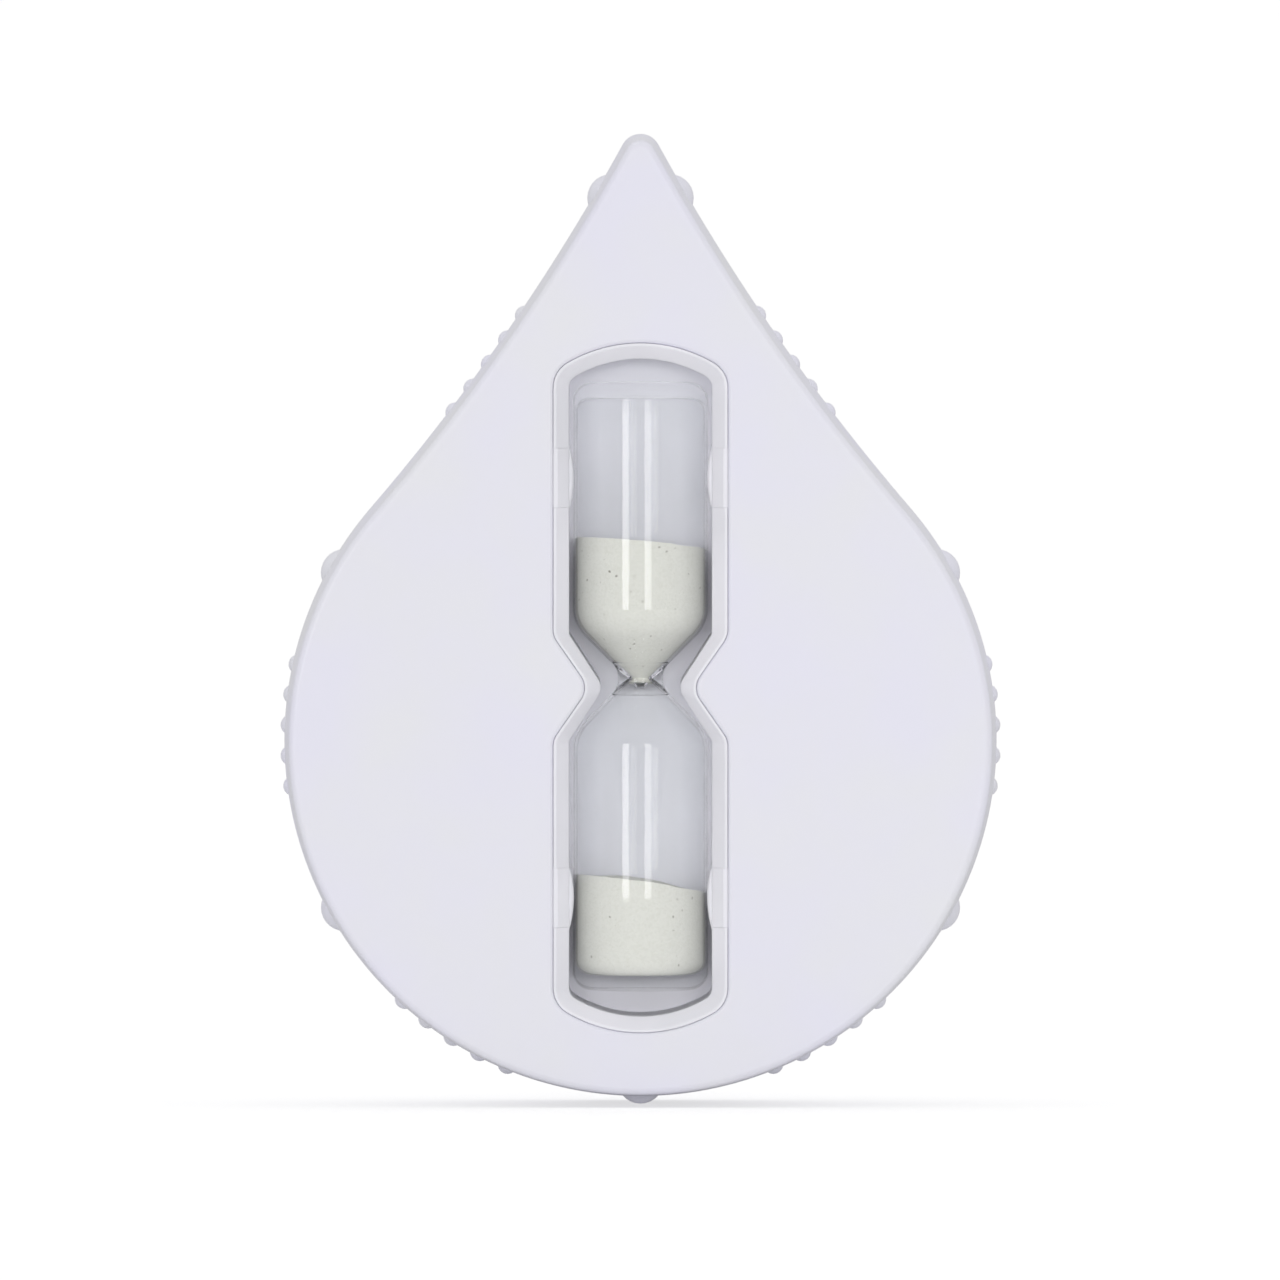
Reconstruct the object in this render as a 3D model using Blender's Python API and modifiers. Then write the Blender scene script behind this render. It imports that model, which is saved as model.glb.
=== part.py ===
"""A drop-shaped shower timer: a sand glass in a two-shell moulded case that turns on a suction cup.

Everything is in metres, with +Z up. The wall that the cup grips is the plane y = 0, with +Y into it, and
the origin is the point of that plane on the turning axis. The timer faces -Y. A depth, below, is a distance
out from the wall, so a point at depth d has y = -d.
"""

import math
from dataclasses import dataclass, replace

import bmesh
import bpy
from mathutils import Matrix, Vector

MM = 0.001

# Clearances
GAP = 0.3 * MM                      # between pieces that rest on each other
SEAM_GAP = 0.3 * MM                 # line round the case between its two shells
BORE_CLEARANCE = 0.1 * MM           # all round the stud, where the case turns on it
STUD_CLEARANCE = 0.3 * MM           # all round it in the pieces that stand still with it

# The drop, seen from the front, measured at the seam where it is widest
DROP_RADIUS = 42.0 * MM             # round lower part
DROP_CENTRE_BELOW_AXIS = 6.5 * MM
TIP_ABOVE_AXIS = 65.0 * MM
TIP_RADIUS = 2.4 * MM
FLANK_RADIUS = 250.0 * MM           # the slightly hollow flanks
INNER_TIP_RADIUS = 1.0 * MM         # where the tip's own radius is used up

# The case, seen from the side
SEAM_SHARE = 0.5                    # of the case's depth, from the back
CASE_WALL = 2.0 * MM
FACE_WALL = 2.0 * MM
BACK_WALL = 2.0 * MM
FRONT_DRAFT = 0.6 * MM              # how far each side wall leans in, from the seam to its face
BACK_DRAFT = 0.6 * MM
FACE_FILLET = 0.85 * MM
BACK_FILLET = 1.5 * MM
INNER_FILLET = 0.6 * MM
LIP_HEIGHT = 1.5 * MM               # the front shell's lip stands inside the rear shell
LIP_THICKNESS = 0.9 * MM
LIP_SET_BACK = 0.1 * MM             # from the wall's inner face

# Grip beads, half on each shell
SMALL_BEAD_RADIUS = 1.2 * MM
SMALL_BEAD_HEIGHT = 0.5 * MM        # out of the side wall
LARGE_BEAD_RADIUS = 2.8 * MM
LARGE_BEAD_HEIGHT = 0.9 * MM
BEAD_ROOT_SHARE = 0.85              # of the thin wall outside the lip, how deep a bead is sunk
BEADS_IN_GROUP = 5
ROUND_BEAD_PITCH_DEG = 5.0          # round the drop's centre
ROUND_GROUPS_DEG = (2.5, -57.7)     # middle of a group, up from level
ROUND_LARGE_BEADS_DEG = (29.5, -29.5)
FLANK_BEAD_PITCH = 3.5 * MM
FLANK_GROUP_HEIGHT = 38.2 * MM      # above the turning axis
FLANK_LARGE_BEAD_BELOW_TIP = 6.6 * MM

# The vial: a glass with two bulbs
VIAL_RADIUS = 8.0 * MM
VIAL_HALF_LENGTH = 35.8 * MM
VIAL_WALL = 1.1 * MM
VIAL_BASE = 1.8 * MM
VIAL_CORNER_RADIUS = 2.0 * MM
VIAL_INNER_CORNER_RADIUS = 1.5 * MM
NECK_ABOVE_AXIS = 0.9 * MM
NECK_RADIUS = 2.65 * MM
NECK_BORE_RADIUS = 0.7 * MM
NECK_CURVE_RADIUS = 2.5 * MM
SHOULDER_RADIUS = 5.0 * MM
SHOULDER_SLOPE_DEG = 45.0
FILL_HOLE_RADIUS = 0.5 * MM
VIAL_BEHIND_FACE = 0.8 * MM

# The sand
UPPER_SAND_LEVEL = 16.8 * MM        # above the turning axis, at mid-width
LOWER_SAND_LEVEL = 22.6 * MM        # below it
UPPER_SAND_TILT_DEG = 5.0
LOWER_SAND_TILT_DEG = 8.0
SAND_CORNER_RADIUS = 1.2 * MM
SAND_NECK_RADIUS = 0.35 * MM

# The holder: its pocket and its rim, seen from the front, and the chamfered band between them
POCKET_SIDE_GAP = 0.4 * MM          # between the vial and the pocket's wall
POCKET_END_GAP = 2.9 * MM
POCKET_WAIST_GAP = 2.05 * MM        # beside the vial's neck
POCKET_END_RADIUS = 15.2 * MM
POCKET_CORNER_RADIUS = 1.5 * MM
POCKET_SHOULDER_HEIGHT = 6.25 * MM
POCKET_SHOULDER_RADIUS = 0.8 * MM
POCKET_WAIST_RADIUS = 1.8 * MM
BAND_WIDTH = 1.85 * MM
RIM_SHOULDER_HEIGHT = 6.1 * MM
RIM_SHOULDER_RADIUS = 2.5 * MM
RIM_WAIST_RADIUS = 2.5 * MM
RIM_BEHIND_FACE = 0.15 * MM
RIM_EDGE_RADIUS = 0.35 * MM
CHAMFER_DEPTH = 1.5 * MM
TRAY_FLOOR = 1.2 * MM
FLANGE_WIDTH = 2.0 * MM
FLANGE_THICKNESS = 1.5 * MM
WINDOW_EDGE_RADIUS = 0.5 * MM

# The holder's four snap pads
PAD_HEIGHT_FROM_AXIS = 24.7 * MM    # middle of a pad, above and below the axis
PAD_LENGTH = 7.8 * MM
PAD_REACH = 0.55 * MM               # out of the tray's side wall
PAD_ROOT = 0.6 * MM                 # sunk in that wall
PAD_ROUNDNESS = 1.6 * MM            # half-thickness of the lens that the pad is part of
PAD_BEHIND_FACE = 4.4 * MM
PAD_DEPTH = 6.4 * MM
FINGER_LENGTH = 7.0 * MM            # of the springy wall that carries a pad, from slot to slot
FINGER_RELIEF = 0.45 * MM           # thinned off its outside
FINGER_STEP = 0.4 * MM              # how far its end lies below the rim
FINGER_DEPTH = 8.5 * MM
SLOT_WIDTH = 0.4 * MM

# Case screws: the tip one on the middle line, the other two as a mirrored pair
TIP_SCREW_SHARE = 0.33              # of the way from the holder's flange up to the drop's tip
SIDE_SCREW_INSET = 8.7 * MM         # from the drop's outline
SIDE_SCREW_DEG = -35.8              # round the drop's centre, up from level
SCREW_HEAD_RADIUS = 2.8 * MM
SCREW_HEAD_HEIGHT = 2.0 * MM
SCREW_SHANK_RADIUS = 1.45 * MM
SCREW_LENGTH = 12.0 * MM            # under the head
SCREW_POINT = 1.6 * MM
POST_RADIUS = 3.2 * MM
WELL_WALL = 1.2 * MM
WELL_FLOOR = 2.5 * MM
POST_RIB_THICKNESS = 1.4 * MM
POST_RIB_DEPTH = 6.0 * MM

# Ribs of the rear shell that press on the tray
REST_RIB_HALF_LENGTH = 9.0 * MM
REST_RIB_THICKNESS = 1.6 * MM

# Pivot: everything on the turning axis
STUD_RADIUS = 2.0 * MM
STUD_HEAD_RADIUS = 4.5 * MM
STUD_HEAD_THICKNESS = 1.0 * MM
STUD_BEYOND_NUT = 0.5 * MM
STUD_TO_TRAY = 0.6 * MM
PIVOT_BOSS_RADIUS = 7.0 * MM
PIVOT_BOSS_HEIGHT = 1.0 * MM
FRICTION_WASHER_RADIUS = 6.0 * MM
FRICTION_WASHER_THICKNESS = 1.0 * MM
PLAIN_WASHER_RADIUS = 4.5 * MM
PLAIN_WASHER_THICKNESS = 0.8 * MM
NUT_ACROSS_FLATS = 7.0 * MM
NUT_HEIGHT = 3.2 * MM

# Suction cup
CUP_RADIUS = 22.0 * MM
CUP_LIP_THICKNESS = 0.7 * MM
CUP_LIP_WIDTH = 1.4 * MM            # flat ring that lies on the wall
CUP_DISH_DEPTH = 3.2 * MM
CUP_CENTRE_WALL = 0.8 * MM          # between the dish and the stud's head
CUP_BOSS_RADIUS = 6.5 * MM
CUP_BOSS_HEIGHT = 2.0 * MM
CUP_BOSS_WALL = 1.4 * MM            # in front of the stud's head
CUP_EDGE_RADIUS = 0.6 * MM

# Depths out from the wall, worked out from the sizes above
STUD_HEAD_BACK = CUP_DISH_DEPTH + CUP_CENTRE_WALL + GAP
STUD_HEAD_FRONT = STUD_HEAD_BACK + STUD_HEAD_THICKNESS
CUP_FRONT = STUD_HEAD_FRONT + GAP + CUP_BOSS_WALL
WASHER_BACK = CUP_FRONT + GAP
WASHER_FRONT = WASHER_BACK + FRICTION_WASHER_THICKNESS
PIVOT_BOSS_BACK = WASHER_FRONT + GAP
CASE_BACK = PIVOT_BOSS_BACK + PIVOT_BOSS_HEIGHT
BACK_INSIDE = CASE_BACK + BACK_WALL
PLAIN_WASHER_BACK = BACK_INSIDE + GAP
PLAIN_WASHER_FRONT = PLAIN_WASHER_BACK + PLAIN_WASHER_THICKNESS
NUT_BACK = PLAIN_WASHER_FRONT + GAP
STUD_END = NUT_BACK + NUT_HEIGHT + STUD_BEYOND_NUT
TRAY_BACK = STUD_END + STUD_TO_TRAY
TRAY_FLOOR_FRONT = TRAY_BACK + TRAY_FLOOR
VIAL_AXIS = TRAY_FLOOR_FRONT + GAP + VIAL_RADIUS
CASE_FACE = VIAL_AXIS + VIAL_RADIUS + VIAL_BEHIND_FACE
FACE_INSIDE = CASE_FACE - FACE_WALL
SEAM = CASE_BACK + SEAM_SHARE * (CASE_FACE - CASE_BACK)
REAR_SHELL_EDGE = SEAM - SEAM_GAP
SEAM_MIDDLE = SEAM - SEAM_GAP / 2
WELL_FLOOR_BACK = REAR_SHELL_EDGE - WELL_FLOOR
SCREW_SEAT = WELL_FLOOR_BACK - GAP
RIM_TOP = CASE_FACE - RIM_BEHIND_FACE

# Other sizes and places worked out from the sizes above
DROP_CENTRE_Z = -DROP_CENTRE_BELOW_AXIS
LIP_INSET = CASE_WALL - LIP_THICKNESS
REBATE_INSET = LIP_INSET - GAP
BEAD_ROOT = BEAD_ROOT_SHARE * REBATE_INSET
HOLE_RADIUS = SCREW_SHANK_RADIUS + GAP
WELL_RADIUS = SCREW_HEAD_RADIUS + GAP
BORE_RADIUS = STUD_RADIUS + BORE_CLEARANCE
STUD_HOLE_RADIUS = STUD_RADIUS + STUD_CLEARANCE
POCKET_HALF_WIDTH = VIAL_RADIUS + POCKET_SIDE_GAP
POCKET_HALF_HEIGHT = VIAL_HALF_LENGTH + POCKET_END_GAP
POCKET_WAIST_HALF_WIDTH = NECK_RADIUS + POCKET_WAIST_GAP
RIM_HALF_WIDTH = POCKET_HALF_WIDTH + BAND_WIDTH
RIM_HALF_HEIGHT = POCKET_HALF_HEIGHT + BAND_WIDTH
FLANGE_TOP = RIM_HALF_HEIGHT + FLANGE_WIDTH
TIP_SCREW_Z = FLANGE_TOP + TIP_SCREW_SHARE * (TIP_ABOVE_AXIS - FLANGE_TOP)
SIDE_SCREW_X = (DROP_RADIUS - SIDE_SCREW_INSET) * math.cos(math.radians(SIDE_SCREW_DEG))
SIDE_SCREW_Z = DROP_CENTRE_Z + (DROP_RADIUS - SIDE_SCREW_INSET) * math.sin(math.radians(SIDE_SCREW_DEG))
SCREW_PLACES = {
    "tip": (0.0, TIP_SCREW_Z),
    "left": (-SIDE_SCREW_X, SIDE_SCREW_Z),
    "right": (SIDE_SCREW_X, SIDE_SCREW_Z),
}

# Smoothness of round shapes
ROUND_STEPS = 36
SMALL_ROUND_STEPS = 16
VIAL_STEPS = 28
PAST = 1.0 * MM                     # how far a cutter reaches past what it cuts

parts = None
cutters = None


def clear_scene():
    """Removes what the scene holds and makes the two collections."""
    global parts, cutters
    for obj in list(bpy.data.objects):
        bpy.data.objects.remove(obj, do_unlink=True)
    parts = bpy.data.collections.new("shower_timer")
    cutters = bpy.data.collections.new("cutters")
    for collection in (parts, cutters):
        bpy.context.scene.collection.children.link(collection)


def material(name, colour, roughness, metallic=0.0, transmission=0.0):
    """A Principled material, from a linear colour."""
    made = bpy.data.materials.new(name)
    made.use_nodes = True
    shader = made.node_tree.nodes["Principled BSDF"]
    shader.inputs["Base Color"].default_value = (*colour, 1.0)
    shader.inputs["Roughness"].default_value = roughness
    shader.inputs["Metallic"].default_value = metallic
    shader.inputs["Transmission Weight"].default_value = transmission
    return made


def add_object(name, bm, helper=False):
    """Makes an object from a bmesh, in the part's collection or, for a helper, among the cutters."""
    bmesh.ops.recalc_face_normals(bm, faces=bm.faces)
    mesh = bpy.data.meshes.new(name)
    bm.to_mesh(mesh)
    bm.free()
    obj = bpy.data.objects.new(name, mesh)
    (cutters if helper else parts).objects.link(obj)
    if helper:
        obj.hide_render = True
        obj.display_type = "WIRE"
    return obj


def boolean(obj, other, operation):
    """Adds one Boolean step to an object."""
    step = obj.modifiers.new(f"{operation.lower()} {other.name}", "BOOLEAN")
    step.operation = operation
    step.object = other


def join(obj, other):
    """Adds a helper to an object."""
    boolean(obj, other, "UNION")


def cut(obj, other):
    """Takes a helper away from an object."""
    boolean(obj, other, "DIFFERENCE")


def arc(centre, radius, start_deg, end_deg, steps):
    """Points of an arc in the front plane, both ends included; angles go from +X towards +Z."""
    points = []
    for i in range(steps + 1):
        angle = math.radians(start_deg + (end_deg - start_deg) * i / steps)
        points.append((centre[0] + radius * math.cos(angle), centre[1] + radius * math.sin(angle)))
    return points


def mirrored_ring(right_half):
    """A closed ring from its right half, whose first and last points lie on the middle line."""
    left_half = [(-x, z) for x, z in reversed(right_half[1:-1])]
    return right_half + left_half


def at_depth(outline, depth):
    """Puts an outline of (x, z) points at a depth out from the wall."""
    return [Vector((x, -depth, z)) for x, z in outline]


def loft(name, rings, closed=False, helper=False):
    """A solid through rings of equal counts, capped flat at both ends or closed into a loop."""
    bm = bmesh.new()
    loops = [[bm.verts.new(point) for point in ring] for ring in rings]
    pairs = list(zip(loops, loops[1:]))
    if closed:
        pairs.append((loops[-1], loops[0]))
    for near, far in pairs:
        for i in range(len(near)):
            bm.faces.new((near[i - 1], near[i], far[i], far[i - 1]))
    if not closed:
        bm.faces.new(loops[0])
        bm.faces.new(loops[-1])
    return add_object(name, bm, helper)


def turned(name, profile, steps, along_pivot=True, place=(0.0, 0.0, 0.0)):
    """A solid of revolution from (radius, height) points that run down its outer side, top to bottom.

    Heights are depths out from the wall for a piece along the pivot axis, and heights up for an upright one.
    """
    bm = bmesh.new()
    closed = profile[0] == profile[-1]
    points = profile[:-1] if closed else profile
    verts = [bm.verts.new((radius, 0.0, height)) for radius, height in points]
    for upper, lower in zip(verts, verts[1:] + verts[:1] if closed else verts[1:]):
        bm.edges.new((upper, lower))
    mesh = bpy.data.meshes.new(name)
    bm.to_mesh(mesh)
    bm.free()
    obj = bpy.data.objects.new(name, mesh)
    parts.objects.link(obj)
    screw = obj.modifiers.new("turn", "SCREW")
    screw.steps = screw.render_steps = steps
    screw.use_merge_vertices = True
    screw.merge_threshold = 0.00001
    obj.location = place
    if along_pivot:
        obj.rotation_euler = (math.radians(90.0), 0.0, 0.0)
    return obj


def post(name, x, z, radius, back, front, steps=SMALL_ROUND_STEPS):
    """A helper cylinder along the depth, from one depth to another."""
    bm = bmesh.new()
    place = Matrix.Translation((x, -(back + front) / 2, z)) @ Matrix.Rotation(math.radians(90.0), 4, "X")
    bmesh.ops.create_cone(
        bm, cap_ends=True, segments=steps, radius1=radius, radius2=radius, depth=front - back, matrix=place
    )
    return add_object(name, bm, helper=True)


def block(name, x_range, depth_range, z_range, turn=None):
    """A helper box between two x, two depths and two z, turned about an axis along the depth if need be."""
    bm = bmesh.new()
    size = (x_range[1] - x_range[0], depth_range[1] - depth_range[0], z_range[1] - z_range[0])
    middle = (sum(x_range) / 2, -sum(depth_range) / 2, sum(z_range) / 2)
    place = Matrix.Translation(middle) @ Matrix.Diagonal((*size, 1.0))
    bmesh.ops.create_cube(bm, size=1.0, matrix=(turn or Matrix.Identity(4)) @ place)
    return add_object(name, bm, helper=True)


def flank_centre():
    """Centre of the flank's arc on the right, which touches the round lower part and the tip's arc."""
    tip_z = TIP_ABOVE_AXIS - TIP_RADIUS
    to_drop = FLANK_RADIUS + DROP_RADIUS
    to_tip = FLANK_RADIUS + TIP_RADIUS
    z = (to_drop**2 - to_tip**2 + tip_z**2 - DROP_CENTRE_Z**2) / (2 * (tip_z - DROP_CENTRE_Z))
    return math.sqrt(to_drop**2 - (z - DROP_CENTRE_Z) ** 2), z


def angle_to(start, end):
    """Direction from one point to another, in degrees from +X towards +Z."""
    return math.degrees(math.atan2(end[1] - start[1], end[0] - start[0]))


def drop_outline(inset=0.0):
    """The drop's outline as a closed ring, moved in by inset; the tip stays a little rounded inside."""
    centre = flank_centre()
    flank_radius = FLANK_RADIUS + inset
    tip_radius = max(TIP_RADIUS - inset, INNER_TIP_RADIUS)
    tip = (0.0, centre[1] - math.sqrt((flank_radius + tip_radius) ** 2 - centre[0] ** 2))
    drop = (0.0, DROP_CENTRE_Z)
    tip_end = angle_to(tip, centre)
    drop_start = angle_to(drop, centre)
    half = arc(tip, tip_radius, 90.0, tip_end, 4)
    half += arc(centre, flank_radius, tip_end + 180.0, drop_start + 180.0, 8)[1:]
    half += arc(drop, DROP_RADIUS - inset, drop_start, -90.0, 26)[1:]
    return mirrored_ring(half)


@dataclass(frozen=True)
class Hourglass:
    """An outline with rounded ends and a narrow waist, centred on the turning axis."""

    half_width: float
    half_height: float
    end_radius: float
    corner_radius: float
    shoulder_height: float
    shoulder_radius: float
    waist_half_width: float
    waist_radius: float

    def slope(self):
        """How far the diagonal from shoulder to waist leans from upright, in degrees."""
        to_waist = (self.half_width - self.waist_half_width - self.waist_radius, self.shoulder_height)
        reach = math.hypot(*to_waist)
        return math.degrees(math.atan2(to_waist[0], to_waist[1]) + math.asin(self.waist_radius / reach))

    def grown(self, distance):
        """The same outline moved outwards by a distance, or inwards by a negative one."""
        half_slope = math.radians(self.slope() / 2)
        return replace(
            self,
            half_width=self.half_width + distance,
            half_height=self.half_height + distance,
            end_radius=self.end_radius + distance,
            corner_radius=self.corner_radius + distance,
            shoulder_height=self.shoulder_height - distance * math.tan(half_slope),
            shoulder_radius=self.shoulder_radius + distance,
            waist_half_width=self.waist_half_width + distance,
            waist_radius=max(self.waist_radius - distance, 0.2 * MM),
        )

    def quarter(self):
        """Points from the top's middle to the waist, on the right."""
        lean = self.slope()
        end_centre = (0.0, self.half_height - self.end_radius)
        reach = self.end_radius - self.corner_radius
        corner_x = self.half_width - self.corner_radius
        corner = (corner_x, end_centre[1] + math.sqrt(reach**2 - corner_x**2))
        corner_start = angle_to(end_centre, corner)
        drop = self.shoulder_radius * math.tan(math.radians(lean / 2))
        shoulder = (self.half_width - self.shoulder_radius, self.shoulder_height + drop)
        waist = (self.waist_half_width + self.waist_radius, 0.0)
        points = arc(end_centre, self.end_radius, 90.0, corner_start, 4)
        points += arc(corner, self.corner_radius, corner_start, 0.0, 4)[1:]
        points += arc(shoulder, self.shoulder_radius, 0.0, -lean, 3)
        points += arc(waist, self.waist_radius, 180.0 - lean, 180.0, 3)
        return points

    def ring(self):
        """The whole outline as a closed ring."""
        upper = self.quarter()
        lower = [(x, -z) for x, z in reversed(upper[:-1])]
        return mirrored_ring(upper + lower)


POCKET = Hourglass(
    half_width=POCKET_HALF_WIDTH,
    half_height=POCKET_HALF_HEIGHT,
    end_radius=POCKET_END_RADIUS,
    corner_radius=POCKET_CORNER_RADIUS,
    shoulder_height=POCKET_SHOULDER_HEIGHT,
    shoulder_radius=POCKET_SHOULDER_RADIUS,
    waist_half_width=POCKET_WAIST_HALF_WIDTH,
    waist_radius=POCKET_WAIST_RADIUS,
)
RIM = Hourglass(
    half_width=RIM_HALF_WIDTH,
    half_height=RIM_HALF_HEIGHT,
    end_radius=POCKET_END_RADIUS + BAND_WIDTH,
    corner_radius=POCKET_CORNER_RADIUS + BAND_WIDTH,
    shoulder_height=RIM_SHOULDER_HEIGHT,
    shoulder_radius=RIM_SHOULDER_RADIUS,
    waist_half_width=POCKET_WAIST_HALF_WIDTH + BAND_WIDTH,
    waist_radius=RIM_WAIST_RADIUS,
)


def fillet_steps(radius, steps):
    """(inward, outward) moves along a quarter round, from its side to its face."""
    moves = []
    for i in range(steps + 1):
        angle = math.radians(90.0 * i / steps)
        moves.append((radius * (1 - math.cos(angle)), radius * math.sin(angle)))
    return moves


def shell_rings(face, inside, draft, fillet, sense):
    """Rings of a dish-shaped shell, from the middle of its outer face round its edge to its inner face.

    face and inside are depths, and sense is 1 for a shell whose face looks out and -1 for one that looks
    back. The edge lies past the seam, where beside() trims it.
    """
    edge = SEAM_MIDDLE - sense * PAST
    rings = []
    for inward, outward in reversed(fillet_steps(fillet, 3)):
        rings.append(at_depth(drop_outline(draft + inward), face - sense * (fillet - outward)))
    for inset, depth in ((0.0, SEAM_MIDDLE), (0.0, edge), (CASE_WALL, edge), (CASE_WALL, SEAM_MIDDLE)):
        rings.append(at_depth(drop_outline(inset), depth))
    for inward, outward in fillet_steps(INNER_FILLET, 1):
        inset = CASE_WALL + draft + inward
        rings.append(at_depth(drop_outline(inset), inside - sense * (INNER_FILLET - outward)))
    return rings


def beside(name, edge, sense):
    """A helper block that takes away whatever lies past a shell's edge."""
    reach = DROP_RADIUS + LARGE_BEAD_HEIGHT + PAST
    below = DROP_CENTRE_Z - reach
    above = TIP_ABOVE_AXIS + LARGE_BEAD_HEIGHT + PAST
    depths = sorted((edge, edge - sense * (LARGE_BEAD_RADIUS + PAST)))
    return block(name, (-reach, reach), depths, (below, above))


def bead_places():
    """(place, radius, height) of every grip bead: its foot on the drop's outline and its outward turn."""
    places = []
    group = [i - (BEADS_IN_GROUP - 1) / 2 for i in range(BEADS_IN_GROUP)]
    small = (SMALL_BEAD_RADIUS, SMALL_BEAD_HEIGHT)
    large = (LARGE_BEAD_RADIUS, LARGE_BEAD_HEIGHT)
    round_beads = [(angle, large) for angle in ROUND_LARGE_BEADS_DEG]
    for middle in ROUND_GROUPS_DEG:
        round_beads += [(middle + ROUND_BEAD_PITCH_DEG * i, small) for i in group]
    for angle, size in round_beads:
        turn = math.radians(angle)
        foot = (DROP_RADIUS * math.cos(turn), DROP_CENTRE_Z + DROP_RADIUS * math.sin(turn))
        places.append((foot, (math.cos(turn), math.sin(turn)), size))
    centre = flank_centre()

    def on_flank(height, along):
        level = math.asin((height - centre[1]) / FLANK_RADIUS) + along / FLANK_RADIUS
        outward = (math.cos(level), -math.sin(level))
        foot = (centre[0] - FLANK_RADIUS * math.cos(level), centre[1] + FLANK_RADIUS * math.sin(level))
        return foot, outward

    places += [(*on_flank(FLANK_GROUP_HEIGHT, FLANK_BEAD_PITCH * i), small) for i in group]
    places.append((*on_flank(TIP_ABOVE_AXIS - FLANK_LARGE_BEAD_BELOW_TIP, 0.0), large))
    mirrored = [((-foot[0], foot[1]), (-out[0], out[1]), size) for foot, out, size in places]
    bottom = ((0.0, DROP_CENTRE_Z - DROP_RADIUS), (0.0, -1.0), large)
    return places + mirrored + [bottom]


def bead_caps(name):
    """All the beads as rounded caps sunk in the wall, one helper for both shells."""
    joined = bmesh.new()
    for foot, outward, (radius, height) in bead_places():
        cap = bmesh.new()
        rounds, rows = (8, 8) if radius < LARGE_BEAD_RADIUS else (12, 10)
        bmesh.ops.create_uvsphere(cap, u_segments=rounds, v_segments=rows, radius=radius)
        bmesh.ops.transform(cap, matrix=Matrix.Translation((0.0, 0.0, height - radius)), verts=cap.verts)
        everything = cap.verts[:] + cap.edges[:] + cap.faces[:]
        root = (0.0, 0.0, -BEAD_ROOT)
        up = (0.0, 0.0, 1.0)
        bmesh.ops.bisect_plane(cap, geom=everything, plane_co=root, plane_no=up, clear_inner=True)
        bmesh.ops.holes_fill(cap, edges=cap.edges[:])
        direction = Vector((outward[0], 0.0, outward[1]))
        turn = direction.to_track_quat("Z", "Y").to_matrix().to_4x4()
        place = Matrix.Translation((foot[0], -SEAM_MIDDLE, foot[1])) @ turn
        bmesh.ops.transform(cap, matrix=place, verts=cap.verts)
        bmesh.ops.recalc_face_normals(cap, faces=cap.faces)
        mesh = bpy.data.meshes.new(name)
        cap.to_mesh(mesh)
        cap.free()
        joined.from_mesh(mesh)
        bpy.data.meshes.remove(mesh)
    return add_object(name, joined, helper=True)


def post_rib(name, x, z, depth_range):
    """A helper rib from a screw post straight out to the case's wall."""
    if z > FLANGE_TOP:
        reach = TIP_ABOVE_AXIS - TIP_RADIUS - CASE_WALL - z
    else:
        reach = DROP_RADIUS - CASE_WALL / 2 - math.hypot(x, z - DROP_CENTRE_Z)
    outward = math.atan2(z - DROP_CENTRE_Z, x)
    turn = Matrix.Translation((x, 0.0, z)) @ Matrix.Rotation(-outward, 4, "Y")
    half = POST_RIB_THICKNESS / 2
    return block(name, (0.0, reach), depth_range, (-half, half), turn)


def make_front_shell(white, beads):
    """The face with its window, the front half of the side wall, the lip and the screw posts."""
    shell = loft("front_shell", shell_rings(CASE_FACE, FACE_INSIDE, FRONT_DRAFT, FACE_FILLET, 1))
    join(shell, beads)
    cut(shell, beside("behind_front_shell", SEAM, 1))
    inside = CASE_WALL - LIP_SET_BACK
    root = SEAM + LIP_HEIGHT
    end = SEAM - LIP_HEIGHT
    corners = ((LIP_INSET, end), (LIP_INSET, root), (inside, root), (inside, end))
    lip = [at_depth(drop_outline(inset), depth) for inset, depth in corners]
    join(shell, loft("lip", lip, closed=True, helper=True))
    for side, (x, z) in SCREW_PLACES.items():
        join(shell, post(f"front_post_{side}", x, z, POST_RADIUS, SEAM, CASE_FACE - FACE_WALL / 2))
        rib_depths = (FACE_INSIDE - POST_RIB_DEPTH, CASE_FACE - FACE_WALL / 2)
        join(shell, post_rib(f"front_rib_{side}", x, z, rib_depths))
        hole_end = SCREW_SEAT + SCREW_LENGTH + GAP
        cut(shell, post(f"pilot_hole_{side}", x, z, HOLE_RADIUS, SEAM - PAST, hole_end))
    opening = RIM.grown(GAP)
    rings = [at_depth(opening.ring(), FACE_INSIDE - PAST)]
    for inward, outward in fillet_steps(WINDOW_EDGE_RADIUS, 2):
        rings.append(at_depth(opening.grown(inward).ring(), CASE_FACE - WINDOW_EDGE_RADIUS + outward))
    rings.append(at_depth(opening.grown(WINDOW_EDGE_RADIUS).ring(), CASE_FACE + PAST))
    cut(shell, loft("window", rings, helper=True))
    shell.data.materials.append(white)
    return shell


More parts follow.
